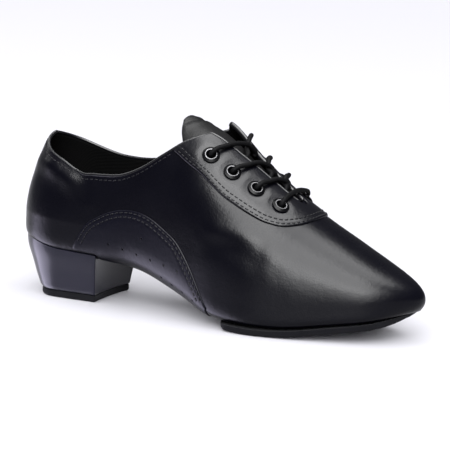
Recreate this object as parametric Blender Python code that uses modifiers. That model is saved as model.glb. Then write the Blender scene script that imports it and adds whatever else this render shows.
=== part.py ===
"""Latin dance shoe for the right foot: split sole, low block heel, four pairs of eyelets."""
import math

import bmesh
import bpy
import numpy as np
from mathutils import Matrix, Vector

for old in list(bpy.data.objects):
    bpy.data.objects.remove(old)

# Driving sizes in millimetres
MM = 0.001
LENGTH = 245.0
BALL_WIDTH = 84.0
INSTEP_HEIGHT = 106.0
SEAT_HEIGHT = 28.0

# Thicknesses and clearances
WALL = 1.5
OVERLAY = 0.6
TONGUE_THICK = 2.0
INSOLE_THICK = 2.0
SOLE_THICK = 3.5
TAP_THICK = 4.0
GAP = 0.3
PANEL_GAP = 0.6
STAY_GAP = 0.5
SEAT_GAP = 0.6
INSOLE_GAP = 0.6
TONGUE_DROP = 1.8

# Smaller features
MARGIN = 8.0
FACING_LIFT = 3.8
INSOLE_INSET = 6.0
INSOLE_WAIST = 4.0
SOLE_INSET = 0.9
SOLE_EDGE = 1.0
EYELET_HOLE = 3.0
EYELET_SIDES = 8
LACE_RADIUS = 1.4

# Shares of the reference last, which is 245 long, 84 wide, 106 high and 28 under the heel seat
ALONG = LENGTH / 245
ACROSS = BALL_WIDTH / 84
UP = INSTEP_HEIGHT / 106
UNDER = SEAT_HEIGHT / 28

# Positions along the shoe, from the back of the heel
HEEL_X = 32 * ALONG
HEEL_CENTRE_X = 30 * ALONG
WAIST_X = 96 * ALONG
CORNER_X = 119 * ALONG
SOLE_REAR_X = 136 * ALONG
THROAT_X = 170 * ALONG
TOE_X = 212 * ALONG
ARCH_CLOSED = (48 * ALONG, 140 * ALONG)
SEAT_SLOPE = 0.108 * UNDER
SIDE_SHIFT = 0.69 * ACROSS


def scaled(rows, *factors):
    """A table of the reference last brought to the driving sizes, with a factor for each column."""
    return [tuple(v * f for v, f in zip(row, factors)) for row in rows]


# Last: x, bottom, swell, crown, half_lateral, half_medial, axis, n_bottom, m_top
LAST = scaled([
    (32, 28.0, 47, 128, 30.5, 30.5, 0.0, 7.0, 1.22),
    (57, 25.3, 45, 125, 30.5, 30.0, 0.5, 4.6, 1.42),
    (80, 21.2, 42, 119, 31.5, 29.5, 2.0, 2.8, 1.80),
    (103, 12.6, 36, 113, 34.5, 31.5, 3.0, 2.6, 2.10),
    (120, 6.7, 30, 106, 38.0, 34.5, 3.0, 3.1, 2.25),
    (140, 3.5, 24, 91, 42.0, 38.5, 3.0, 5.8, 2.15),
    (160, 3.4, 20, 76, 43.0, 41.0, 3.0, 7.0, 2.10),
    (180, 4.4, 19, 63, 39.0, 41.5, 3.0, 7.8, 2.10),
    (200, 7.5, 20, 52.3, 32.5, 37.0, 3.5, 7.6, 2.10),
    (222, 11.2, 22, 41.5, 24.5, 28.0, 4.0, 6.6, 2.10),
    (245, 17.0, 26.5, 34.5, 14.0, 17.0, 4.5, 5.6, 2.10),
], ALONG, UNDER, UP, UP, ACROSS, ACROSS, ACROSS, 1, 1)

# Back of the heel: z, x
BACK = scaled([
    (28, 2.4),
    (38, 0.5),
    (47, 0.0),
    (58, 0.9),
    (70, 3.6),
    (80, 7.0),
    (93, 13.0),
    (100, 17.0),
    (128, 32.0),
], UP, ALONG)

# Collar round the heel: angle from the back, z_lateral, z_medial
COLLAR_BACK = scaled([
    (0, 93.5, 93.5),
    (30, 90.0, 91.5),
    (60, 85.0, 88.5),
    (90, 80.3, 84.5),
], 1, UP, UP)

# Collar along the foot: x, z_lateral, z_medial
COLLAR_SIDE = scaled([
    (32, 80.3, 84.5),
    (40, 77.0, 82.0),
    (48, 75.3, 80.3),
    (60, 75.3, 79.6),
    (72, 77.0, 81.0),
    (84, 82.5, 85.5),
    (96, 91.0, 92.5),
    (108, 99.0, 99.5),
    (119, 103.6, 103.2),
], ALONG, UP, UP)

# Edge of the throat: x, share of the half width
THROAT = scaled([
    (119, 0.331),
    (133, 0.228),
    (146, 0.154),
    (157, 0.112),
    (165, 0.092),
    (170, 0.062),
], ALONG, 1)

# Eyestay from the collar round to the middle of the vamp: place, inner_x, outer_x, outer share of half width
EYESTAY = scaled([
    (0, 120.4, 104.0, 0.705),
    (1, 127.0, 113.0, 0.745),
    (2, 134.0, 122.5, 0.760),
    (3, 141.0, 133.0, 0.760),
    (4, 148.0, 143.0, 0.742),
    (5, 155.0, 153.5, 0.716),
    (6, 161.0, 163.0, 0.682),
    (7, 166.0, 171.8, 0.607),
    (8, 170.0, 178.3, 0.455),
    (9, 171.6, 181.5, 0.276),
    (10, 172.3, 182.6, 0.135),
    (11, 172.5, 182.8, 0.0),
], 1, ALONG, ALONG, 1)

# Eyelets from the toe: x, share of the half width
EYELETS = scaled([(165.0, 0.418), (151.0, 0.467), (137.2, 0.532), (124.2, 0.580)], ALONG, 1)

# Eyelet section: radius, height over the upper
EYELET_PROFILE = [(2.6, 1.9), (3.8, 2.0), (4.9, 1.4), (2.7, 1.4), (2.7, -2.0), (2.2, -2.0)]

# Tongue: x, share of the half width
TONGUE = scaled([
    (99.4, 0.27),
    (100.6, 0.42),
    (103.0, 0.55),
    (106.5, 0.64),
    (111, 0.69),
    (118, 0.66),
    (126, 0.58),
    (135, 0.50),
    (144, 0.43),
    (153, 0.37),
    (162, 0.32),
    (169, 0.28),
    (175, 0.25),
], ALONG, 1)

# Top seam of the arch panel: x, z
ARCH = scaled([
    (43.5, 31.5),
    (51, 45.0),
    (60, 52.0),
    (71, 56.7),
    (81, 58.0),
    (92, 56.2),
    (104, 50.3),
    (113.7, 43.8),
    (121, 34.7),
    (128, 23.5),
    (134.5, 11.5),
], ALONG, UP)

# Heel block from the seat to the tap: level, back_x, breast_x, half_lateral, half_medial, hollow of the breast
HEEL_LEVELS = scaled([
    (0.00, 2.6, 57.6, 28.4, 28.0, 3.2),
    (0.12, 2.9, 57.5, 28.2, 27.7, 3.1),
    (0.50, 6.9, 56.7, 26.4, 25.2, 2.4),
    (0.86, 11.2, 56.1, 24.7, 22.6, 1.6),
    (0.95, 12.6, 56.0, 24.2, 22.0, 1.4),
    (1.00, 14.0, 55.8, 23.4, 21.2, 1.3),
], 1, ALONG, ALONG, ACROSS, ACROSS, ALONG)

# Finishes: colour, roughness, metallic
BLACK_LEATHER = ((0.012, 0.012, 0.014), 0.4, 0.0)
TONGUE_LEATHER = ((0.03, 0.03, 0.032), 0.6, 0.0)
LINING = ((0.03, 0.03, 0.032), 0.8, 0.0)
SUEDE = ((0.03, 0.03, 0.033), 0.95, 0.0)
HEEL_GLOSS = ((0.01, 0.01, 0.012), 0.25, 0.0)
EYELET_METAL = ((0.05, 0.05, 0.05), 0.3, 1.0)
LACE_CORD = ((0.015, 0.015, 0.016), 0.7, 0.0)


# Surface of the last
def spline(table, x, column=1):
    """Smooth curve through one column of a table."""
    xs = np.array([row[0] for row in table], float)
    ys = np.array([row[column] for row in table], float)
    x = np.asarray(x, float)
    h = np.diff(xs)
    d = np.diff(ys) / h
    m = np.empty_like(ys)
    m[1:-1] = (d[:-1] * h[1:] + d[1:] * h[:-1]) / (h[:-1] + h[1:])
    m[0] = d[0]
    m[-1] = d[-1]
    i = np.clip(np.searchsorted(xs, x, side="right") - 1, 0, len(h) - 1)
    t = np.clip((x - xs[i]) / h[i], 0, 1)
    left = (2 * t**3 - 3 * t**2 + 1) * ys[i] + (t**3 - 2 * t**2 + t) * h[i] * m[i]
    right = (3 * t**2 - 2 * t**3) * ys[i + 1] + (t**3 - t**2) * h[i] * m[i + 1]
    return left + right


def cap(x):
    """Rounds the toe in plan and in profile."""
    k = np.clip((np.asarray(x, float) - TOE_X) / (LENGTH - TOE_X), 0, 1)
    return np.sqrt(1 - k**2.6)


def section(x, side):
    """Axis, half width, bottom, swell and crown of one half section with its two exponents."""
    c = cap(x)
    axis = spline(LAST, x, 6)
    half = np.where(side < 0, spline(LAST, x, 4) + axis, spline(LAST, x, 5) - axis) * c
    bottom = spline(LAST, x, 1)
    swell = bottom + (spline(LAST, x, 2) - bottom) * (0.55 + 0.45 * c)
    crown = swell + (spline(LAST, x, 3) - swell) * c
    return axis, half, bottom, swell, crown, spline(LAST, x, 7), spline(LAST, x, 8)


def lift(x, offset):
    """The inner facing stands up a little at its top corner."""
    along = np.exp(-(((np.asarray(x, float) - CORNER_X) / 17) ** 2))
    across = np.clip((24 - offset) / 13, 0, 1)
    return FACING_LIFT * along * across**2 * (3 - 2 * across) * np.clip(offset / 9, 0, 1)


STEPS = 140
SWEEP = np.linspace(0, 1, STEPS)
THETA = np.radians(np.concatenate([-90 + 90 * SWEEP**3, 90 * SWEEP[1:]]))
LOW = THETA <= 0


def half_line(x, phi, side):
    """Dense half section from the bottom centre to the crown, swept round the heel where phi is under 90."""
    axis, half, bottom, swell, crown, n, m = section(x, side)
    c = np.abs(np.cos(THETA))
    s = np.abs(np.sin(THETA))
    share = np.where(LOW, c ** (2 / n), c ** (2 / m))
    share[0] = 0
    share[-1] = 0
    below = swell - (swell - bottom) * s ** (2 / n)
    above = swell + (crown - swell) * s ** (2 / m)
    z = np.where(LOW, below, above)
    offset = half * share
    if phi >= 90:
        if side > 0:
            z = z + np.where(LOW, 0, lift(x, offset))
        line = np.stack([np.full_like(z, x), axis + side * offset, z], -1)
    else:
        depth = np.where(LOW, HEEL_X * share, HEEL_X - spline(BACK, z))
        px = HEEL_X - depth * math.cos(math.radians(phi))
        py = side * offset * math.sin(math.radians(phi))
        z = z + (HEEL_X - px) * SEAT_SLOPE * np.clip((70 - z) / 40, 0, 1)
        line = np.stack([px, py, z], -1)
    return line, offset


def normals(x, side, line):
    """Outward normals of a half section ahead of the heel, from its neighbours."""
    before = half_line(max(x - 0.5, HEEL_X), 90, side)[0]
    after = half_line(x + 0.5, 90, side)[0]
    out = np.cross(after - before, np.gradient(line, axis=0)) * -side
    return out / np.maximum(np.linalg.norm(out, axis=1, keepdims=True), 1e-9)


def arc(line):
    """Length along a line at each of its points."""
    return np.concatenate([[0], np.cumsum(np.linalg.norm(np.diff(line, axis=0), axis=1))])


def at(line, s, where):
    """Points of a line at given lengths along it."""
    return np.stack([np.interp(where, s, line[:, k]) for k in range(line.shape[1])], -1)


def top_cut(x, phi, side, line, offset, s):
    """Where the collar, the throat or the crown ends a half section."""
    high = np.arange(len(s)) >= STEPS - 1
    column = 1 if side < 0 else 2
    if phi < 90:
        return np.interp(spline(COLLAR_BACK, phi, column), line[high, 2], s[high])
    if x < CORNER_X - 0.01:
        return np.interp(spline(COLLAR_SIDE, x, column), line[high, 2], s[high])
    if x <= THROAT_X + 0.01:
        return np.interp(-spline(THROAT, x) * offset.max(), -offset[high], s[high])
    return s[-1]


def margin_cut(offset, s):
    """Where the turned margin under the foot ends."""
    half = offset.max()
    if half < 0.01:
        return s[STEPS - 1] * 0.3
    return np.interp(max(half - MARGIN, 0.35 * half), offset[:STEPS], s[:STEPS])


def closed_below(x, phi, half):
    """True under the arch and at the toe tip, where the two halves meet."""
    under_arch = ARCH_CLOSED[0] < x < ARCH_CLOSED[1]
    toe_tip = x > TOE_X and half < MARGIN + 5
    return phi >= 90 and (under_arch or toe_tip)


def instep(x, share, up, raised=True):
    """Point over the instep at a share of the half width, moved along the normal, and that normal."""
    def height(px, po):
        axis, half, bottom, swell, crown, n, m = section(px, np.where(po < 0, -1, 1))
        z = swell + (crown - swell) * (1 - np.clip(np.abs(po) / half, 0, 0.9999) ** m) ** (1 / m)
        return z + (lift(px, po) if raised else 0)

    x = np.asarray(x, float)
    share = np.asarray(share, float)
    axis, half = section(x, np.where(share < 0, -1, 1))[:2]
    offset = share * half
    dx = (height(x + 0.4, offset) - height(x - 0.4, offset)) / 0.8
    dy = (height(x, offset + 0.4) - height(x, offset - 0.4)) / 0.8
    n = np.stack([-dx, -dy, np.ones_like(dx)], -1)
    n /= np.linalg.norm(n, axis=-1, keepdims=True)
    place = np.stack([x, axis + offset, height(x, offset)], -1)
    return place + n * np.broadcast_to(up, x.shape)[..., None], n


def underside(x, y):
    """Height of the last's bottom over a point of the plan."""
    ahead = np.maximum(x, HEEL_X)
    side = np.where(y < spline(LAST, ahead, 6), -1, 1)
    axis, half, bottom, swell, crown, n, m = section(ahead, side)
    share = np.abs(y - axis) / half
    back = np.clip(HEEL_X - x, 0, None)
    share = np.clip(np.sqrt(share**2 + (back / HEEL_X) ** 2), 0, 0.995)
    return swell - (swell - bottom) * (1 - share**n) ** (1 / n) + back * SEAT_SLOPE


def half_widths(x, inset, waist=0.0):
    """Outline of the last with an inset, more at the waist, to the lateral and the medial side."""
    inset = inset + waist * np.exp(-(((x - WAIST_X) / 42) ** 2))
    sides = []
    for side in (-1, 1):
        axis, half = section(np.maximum(x, HEEL_X), side)[:2]
        k = np.clip((HEEL_X - x) / (HEEL_X - inset), 0, 1)
        sides.append(axis + side * np.maximum(half - inset, 0.6) * np.sqrt(1 - k**2))
    return sides


# Objects
shoe = bpy.data.collections.new("latin_dance_shoe")
bpy.context.scene.collection.children.link(shoe)
cutters = bpy.data.collections.new("cutters")
bpy.context.scene.collection.children.link(cutters)
heel_back = bpy.data.objects.new("heel_back", None)
heel_back.location = (-LENGTH / 2 * MM, SIDE_SHIFT * MM, 0)
shoe.objects.link(heel_back)


def material(name, colour, rough, metallic):
    """A plain finish for one piece."""
    mat = bpy.data.materials.new(name)
    mat.use_nodes = True
    bsdf = mat.node_tree.nodes["Principled BSDF"]
    bsdf.inputs["Base Color"].default_value = (*colour, 1)
    bsdf.inputs["Roughness"].default_value = rough
    bsdf.inputs["Metallic"].default_value = metallic
    return mat


def place(name, data, home=shoe):
    """An object measured from the back of the heel."""
    obj = bpy.data.objects.new(name, data)
    obj.parent = heel_back
    home.objects.link(obj)
    if home is cutters:
        obj.hide_render = True
        obj.display_type = "WIRE"
    return obj


def loft(name, verts, faces, finish, merge=0.0, closed=True):
    """A mesh object from points in millimetres, with its faces turned out where it encloses a space."""
    bm = bmesh.new()
    points = [bm.verts.new(Vector(p) * MM) for p in verts]
    for face in faces:
        bm.faces.new([points[i] for i in face])
    bmesh.ops.delete(bm, geom=[v for v in bm.verts if not v.link_faces], context="VERTS")
    if merge:
        bmesh.ops.remove_doubles(bm, verts=bm.verts[:], dist=merge * MM)
    if closed and bm.calc_volume(signed=True) < 0:
        bmesh.ops.reverse_faces(bm, faces=bm.faces[:])
    mesh = bpy.data.meshes.new(name)
    bm.to_mesh(mesh)
    bm.free()
    mesh.materials.append(material(name, *finish))
    mesh.shade_smooth()
    mesh.set_sharp_from_angle(angle=math.radians(40))
    return place(name, mesh)


def grid_faces(rows, columns, start=0):
    """Quads between neighbouring points of a grid."""
    faces = []
    for i in range(rows - 1):
        for j in range(columns - 1):
            a = start + i * columns + j
            faces.append((a, a + columns, a + columns + 1, a + 1))
    return faces


def thicken(obj, thickness, offset):
    """Solidify inwards at an offset of -1 and outwards at 1."""
    wall = obj.modifiers.new("wall", "SOLIDIFY")
    wall.thickness = thickness * MM
    wall.offset = offset
    wall.use_even_offset = True
    wall.use_quality_normals = True


def shell(name, grid, outward, thickness, finish, keep=None):
    """An open grid of points with a thickness on its outward side, all of it or the faces that are kept."""
    rows, columns = grid.shape[:2]
    faces = [f for f in grid_faces(rows, columns) if keep is None or keep(*divmod(f[0], columns))]
    points = grid.reshape(-1, 3)
    up = np.broadcast_to(outward, grid.shape).reshape(-1, 3)
    a, b, c, d = faces[len(faces) // 2]
    if np.dot(np.cross(points[c] - points[a], points[d] - points[b]), up[a]) < 0:
        faces = [f[::-1] for f in faces]
    obj = loft(name, points, faces, finish, closed=False)
    thicken(obj, thickness, 1)
    return obj


def stack(name, rings, finish):
    """A closed solid through rings of equal length with flat ends."""
    count = len(rings[0])
    faces = [tuple(range(count - 1, -1, -1))]
    for r in range(len(rings) - 1):
        for j in range(count):
            k = (j + 1) % count
            faces.append((r * count + j, r * count + k, (r + 1) * count + k, (r + 1) * count + j))
    faces.append(tuple((len(rings) - 1) * count + j for j in range(count)))
    return loft(name, np.concatenate(rings), faces, finish)


def boolean(obj, operation, other):
    """Cuts or joins a piece with a helper object."""
    cut = obj.modifiers.new(other.name, "BOOLEAN")
    cut.operation = operation
    cut.solver = "EXACT"
    cut.object = other


# Upper: stations round the heel, along the foot and round the toe, with rows from the sole edge to the collar
HEEL_ANGLES = [0, 11, 22, 33, 44, 55, 67, 79]
FOOT_X = [32, 37.5, 43, 48.5, 54, 59, 66, 73, 80, 87, 94, 101, 107, 111.5, 115.5, 119, 125, 131, 137, 142, 147,
          152, 157, 162, 166, 170, 173.5, 178, 184, 190, 196, 202, 207, 212]
TOE_TURN = [15, 30, 44, 57, 69, 80, 90]
STATIONS = [(HEEL_X, angle) for angle in HEEL_ANGLES]
STATIONS += [(x * ALONG, 90) for x in FOOT_X]
STATIONS += [(TOE_X + (LENGTH - TOE_X) * math.sin(math.radians(a)), 90) for a in TOE_TURN]
MIDDLE_ROWS = np.array([0, 0.35, 0.7])
LOW_ROWS = np.array([0, 0.2, 0.38, 0.62])
HIGH_ROWS = np.linspace(0, 1, 8)


def upper_half(side):
    """Rows of points for each station, and which stations are closed underneath."""
    rows = []
    closed = []
    for x, phi in STATIONS:
        line, offset = half_line(x, phi, side)
        s = arc(line)
        margin = margin_cut(offset, s)
        swell = s[STEPS - 1]
        top = top_cut(x, phi, side, line, offset, s)
        low = margin + (swell - margin) * LOW_ROWS
        high = swell + (top - swell) * HIGH_ROWS
        rows.append(at(line, s, np.concatenate([margin * MIDDLE_ROWS, low, high])))
        closed.append(closed_below(x, phi, offset.max()))
    return np.array(rows), closed


def upper_faces(shape, closed, start):
    """Faces of one half without the holes under the heel and the forefoot."""
    faces = []
    for face in grid_faces(shape[0], shape[1], start):
        i, j = divmod(face[0] - start, shape[1])
        if j >= len(MIDDLE_ROWS) or (closed[i] and closed[i + 1]):
            faces.append(face)
    return faces


lateral, lateral_closed = upper_half(-1)
medial, medial_closed = upper_half(1)
both_closed = [a and b for a, b in zip(lateral_closed, medial_closed)]
half_count = lateral.shape[0] * lateral.shape[1]
upper = loft(
    "upper",
    np.concatenate([lateral.reshape(-1, 3), medial.reshape(-1, 3)]),
    upper_faces(lateral.shape, both_closed, 0)
    + [f[::-1] for f in upper_faces(medial.shape, both_closed, half_count)],
    BLACK_LEATHER,
    merge=0.02,
)
thicken(upper, WALL, -1)

# Eyestay: a U of leather round the throat, even in width between its two edges
TOE_BEND = 2.5 * ALONG
stay_place = np.concatenate([np.linspace(0, 8, 13), [9, 10, 11]])
inner_x, outer_x, outer_share = (spline(EYESTAY, stay_place, column) for column in (1, 2, 3))
bend = np.clip((inner_x - THROAT_X) / TOE_BEND, 0, 1)
inner_share = (spline(THROAT, inner_x) + 0.015) * np.sqrt(1 - bend**2)
stay_rows = np.linspace(0, 1, 5)
half_x = inner_x[:, None] + (outer_x - inner_x)[:, None] * stay_rows
half_share = inner_share[:, None] + (outer_share - inner_share)[:, None] * stay_rows
stay_x = np.concatenate([half_x, half_x[-2::-1]])
stay_share = np.concatenate([-half_share, half_share[-2::-1]])
stay_grid, stay_normals = instep(stay_x, stay_share, STAY_GAP)
eyestay = shell("eyestay", stay_grid, stay_normals, OVERLAY, BLACK_LEATHER)

# Eyelets, each turned from one profile, and the holes for them
HOLE_DEPTH = 7.0
HOLE_SINK = 0.5
profile = bmesh.new()
corners = [profile.verts.new((r * MM, 0, h * MM)) for r, h in EYELET_PROFILE]
for corner, following in zip(corners, corners[1:] + corners[:1]):
    profile.edges.new((corner, following))
eyelet_mesh = bpy.data.meshes.new("eyelet")
profile.to_mesh(eyelet_mesh)
profile.free()
eyelet_mesh.materials.append(material("eyelet", *EYELET_METAL))
holes = bmesh.new()
quarter_turn = Matrix.Rotation(math.pi / 2, 4, "Z")
for number, (ex, eo) in enumerate(EYELETS, 1):
    for side, word in ((-1, "lateral"), (1, "medial")):
        point, axis = instep(np.array([ex]), np.array([side * eo]), 0.0)
        eyelet = place(f"eyelet_{word}_{number}", eyelet_mesh)
        eyelet.location = Vector(point[0]) * MM
        eyelet.rotation_mode = "QUATERNION"
        eyelet.rotation_quaternion = Vector(axis[0]).to_track_quat("Z", "Y")
        turn = eyelet.modifiers.new("turned", "SCREW")
        turn.steps = EYELET_SIDES
        turn.render_steps = EYELET_SIDES
        turn.use_merge_vertices = True
        turn.merge_threshold = 0.00001
        seat = Matrix.LocRotScale(eyelet.location, eyelet.rotation_quaternion, None)
        bmesh.ops.create_cone(
            holes,
            cap_ends=True,
            segments=EYELET_SIDES,
            radius1=EYELET_HOLE * MM,
            radius2=EYELET_HOLE * MM,
            depth=HOLE_DEPTH * MM,
            matrix=seat @ Matrix.Translation((0, 0, -HOLE_SINK * MM)) @ quarter_turn,
        )
hole_mesh = bpy.data.meshes.new("eyelet_holes")
holes.to_mesh(hole_mesh)
holes.free()
eyelet_holes = place("eyelet_holes", hole_mesh, cutters)
boolean(upper, "DIFFERENCE", eyelet_holes)
boolean(eyestay, "DIFFERENCE", eyelet_holes)

# Tongue, a sheet under the facings with a round top
tongue_rows = np.linspace(-1, 1, 7)
tongue_x = np.repeat(np.array([[row[0]] for row in TONGUE]), len(tongue_rows), 1)
tongue_share = np.array([[row[1]] for row in TONGUE]) * tongue_rows
tongue_level = -(WALL + TONGUE_DROP + TONGUE_THICK)
tongue_grid, tongue_normals = instep(tongue_x, tongue_share, tongue_level, raised=False)
shell("tongue", tongue_grid, tongue_normals, TONGUE_THICK, TONGUE_LEATHER)

# Arch panels, from the centre seam up to the top seam, and above the seat beside the heel block
BELOW_ROWS = np.array([0, 0.28, 0.52, 0.7, 0.83, 0.92])
ABOVE_ROWS = np.array([0, 0.14, 0.34, 0.64, 1])
ARCH_X = [45, 48, 51.5, 55, 58.8, 65, 72, 79, 86, 93, 100, 107, 113, 118, 122.5, 126.5, 130]
CENTRE_SEAM = 0.4
ROLL_HEIGHT = 6.2
OVER_HEEL = 4


def beside_or_ahead_of_heel(i, j):
    """Leaves the heel seat bare where the heel block is fixed."""
    return i >= OVER_HEEL or j >= len(BELOW_ROWS)


for side, word in ((-1, "lateral"), (1, "medial")):
    panel = []
    panel_normals = []
    for x in np.array(ARCH_X) * ALONG:
        line, offset = half_line(x, 90, side)
        out = normals(x, side, line)
        s = arc(line)
        top = np.interp(spline(ARCH, x), line[1:, 2], s[1:])
        roll = min(np.interp(line[0, 2] + ROLL_HEIGHT, line[:, 2], s), top - 1.5)
        below = CENTRE_SEAM + (roll - CENTRE_SEAM) * BELOW_ROWS
        where = np.concatenate([below, roll + (top - roll) * ABOVE_ROWS])
        direction = at(out, s, where)
        direction /= np.linalg.norm(direction, axis=1, keepdims=True)
        panel.append(at(line, s, where) + direction * PANEL_GAP)
        panel_normals.append(direction)
    name = f"arch_panel_{word}"
    shell(name, np.array(panel), np.array(panel_normals), OVERLAY, BLACK_LEATHER, beside_or_ahead_of_heel)

# Insole
HEEL_TURN = np.sin(np.radians([90, 74, 58, 42, 26, 12]))
insole_x = np.concatenate([
    HEEL_X - (HEEL_X - INSOLE_INSET - 1) * HEEL_TURN,
    np.arange(32, 212, 10.0) * ALONG,
    np.array([213, 221, 228, 233, 235.5]) * ALONG,
])
left, right = half_widths(insole_x, INSOLE_INSET, INSOLE_WAIST)
insole_rows = np.linspace(0, 1, 5)
plan_x = np.repeat(insole_x[:, None], len(insole_rows), 1)
plan_y = left[:, None] + (right - left)[:, None] * insole_rows
floor = underside(plan_x, plan_y)
slope = np.gradient(floor, axis=1) / np.maximum(np.gradient(plan_y, axis=1), 1e-3)
rise = (WALL + INSOLE_GAP) * np.sqrt(1 + np.clip(slope, -1, 1) ** 2)
insole_grid = np.stack([plan_x, plan_y, floor + rise], -1)
shell("insole", insole_grid, (0.0, 0.0, 1.0), INSOLE_THICK, LINING)

# Outsole under the forefoot, with a round rear edge at the waist
REAR_ROUND = 12 * ALONG
REAR_TURN = np.radians([6, 20, 36, 54, 72, 90])
TIP_TURN = np.radians([10, 27, 43, 57, 70, 82])
FLAT_SHARE = 0.8
sole_x = np.concatenate([
    SOLE_REAR_X + REAR_ROUND * (1 - np.cos(REAR_TURN)),
    np.arange(152, 212, 7.0) * ALONG,
    TOE_X + (LENGTH - 1.2 - TOE_X) * np.sin(TIP_TURN),
])
left, right = half_widths(sole_x, SOLE_INSET)
round_end = np.sqrt(1 - np.clip((SOLE_REAR_X + REAR_ROUND - sole_x) / REAR_ROUND, 0, 1) ** 2)
middle = (left + right) / 2
left = middle + (left - middle) * round_end
right = middle + (right - middle) * round_end


def sole_roof(x, y):
    """Top of the outsole, which follows the last but rolls up less at its sides."""
    centre = spline(LAST, x, 6)
    return underside(np.full_like(y, x), centre + (y - centre) * FLAT_SHARE) - GAP


def sole_ring(x, a, b):
    """Section of the outsole between its two sides, with the lower edges taken off."""
    edge = min(SOLE_EDGE, (b - a) * 0.2)
    top_y = np.linspace(a, b, 6)
    low_y = np.linspace(b - edge, a + edge, 6)
    top = sole_roof(x, top_y)
    low = np.maximum(sole_roof(x, low_y) - SOLE_THICK, 0)
    side_a, side_b = (max(z - SOLE_THICK + SOLE_EDGE, SOLE_EDGE * 0.7) for z in (top[0], top[-1]))
    ring = [(x, y, z) for y, z in zip(top_y, top)]
    ring.append((x, b, side_b))
    ring += [(x, y, z) for y, z in zip(low_y, low)]
    ring.append((x, a, side_a))
    return np.array(ring)


stack("outsole", [sole_ring(*ends) for ends in zip(sole_x, left, right)], SUEDE)


# Heel block and tap
def heel_outline(back, breast, half_lateral, half_medial, hollow, inset=0.0):
    """Round at the back and hollow across the breast."""
    ring = []
    for t in np.radians(np.linspace(-90, 90, 17)):
        half = (half_lateral if t < 0 else half_medial) - inset
        depth = HEEL_CENTRE_X - back - inset
        x = HEEL_CENTRE_X - depth * math.cos(t) ** 0.9
        ring.append((x, half * math.copysign(abs(math.sin(t)) ** 0.9, t)))
    front = breast - inset
    medial_corner = half_medial - inset - 1.0
    lateral_corner = -(half_lateral - inset - 1.0)
    for v in np.linspace(1, -1, 9):
        y = (medial_corner + lateral_corner + v * (medial_corner - lateral_corner)) / 2
        ring.append((front - hollow * (1 - v * v), y))
    return np.array(ring)


def on_seat(flat):
    """An outline laid under the heel seat."""
    return np.column_stack([flat, underside(flat[:, 0], flat[:, 1]) - SEAT_GAP])


SEAT_INSETS = (10.0, 5.5, 3.0, 1.2)
heel_rings = [on_seat(heel_outline(*HEEL_LEVELS[0][1:], inset=inset)) for inset in SEAT_INSETS]
rim = on_seat(heel_outline(*HEEL_LEVELS[0][1:]))
for level, *outline in HEEL_LEVELS:
    flat = heel_outline(*outline)
    z = rim[:, 2] * (1 - level) + (TAP_THICK + GAP) * level
    heel_rings.append(np.column_stack([flat, z]))
stack("heel", heel_rings, HEEL_GLOSS)

TAP_EDGE = [(TAP_THICK, 0.3), (TAP_THICK - 0.6, 0.0), (0.9, 0.1), (0.0, 1.0)]
tap_rings = []
for z, inset in TAP_EDGE:
    flat = heel_outline(*HEEL_LEVELS[-1][1:], inset=inset)
    tap_rings.append(np.column_stack([flat, np.full(len(flat), z)]))
stack("heel_tap", tap_rings, SUEDE)


# Laces: routes hold x, share of the half width and height over the upper
def lace_curve(name, route, samples):
    """A round cord along a smooth line over the instep."""
    knots = np.linspace(0, 1, len(route))
    columns = [[(t, row[k]) for t, row in zip(knots, route)] for k in range(3)]
    x, share, height = (spline(column, np.linspace(0, 1, samples)) for column in columns)
    curve = bpy.data.curves.new(name, "CURVE")
    curve.dimensions = "3D"
    curve.bevel_depth = LACE_RADIUS * MM
    curve.bevel_resolution = 2
    curve.use_fill_caps = True
    curve.materials.append(material(name, *LACE_CORD))
    line = curve.splines.new("POLY")
    line.points.add(samples - 1)
    for point, spot in zip(line.points, instep(x, share, height)[0]):
        point.co = (*(spot * MM), 1)
    return place(name, curve)


def as_mesh(obj, name, home):
    """The same cord as a closed mesh, so that it can be joined."""
    bpy.context.view_layer.update()
    evaluated = obj.evaluated_get(bpy.context.evaluated_depsgraph_get())
    mesh = bpy.data.meshes.new_from_object(evaluated)
    bm = bmesh.new()
    bm.from_mesh(mesh)
    bmesh.ops.remove_doubles(bm, verts=bm.verts[:], dist=0.000001)
    bm.to_mesh(mesh)
    bm.free()
    made = place(name, mesh, home)
    made.matrix_world = obj.matrix_world
    bpy.data.objects.remove(obj)
    return made


LAST_TUCK_X = 161.0 * ALONG


def strand(number, side, middle_height):
    """From an eyelet over the middle to the opposite edge of the throat, one row nearer the toe."""
    x, share = EYELETS[number - 1]
    end_x = min(EYELETS[number - 2][0] + 1.0, LAST_TUCK_X)
    run = end_x - x
    half = section(end_x, -side)[1]
    end_share = spline(THROAT, end_x) - (LACE_RADIUS + 0.5) / half
    edge_x = x + run * 0.48
    return [
        (x, side * share, 0.2),
        (x, side * share, 2.4),
        (x + run * 0.1, side * (share - 0.06), 3.9),
        (x + run * 0.3, side * (share - 0.18), 3.4),
        (edge_x, side * spline(THROAT, edge_x), 3.1),
        (x + run * 0.74, 0, middle_height),
        (end_x - 1.0, -side * (end_share - 0.04), 1.0),
        (end_x, -side * end_share, 0.0),
    ]


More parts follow.
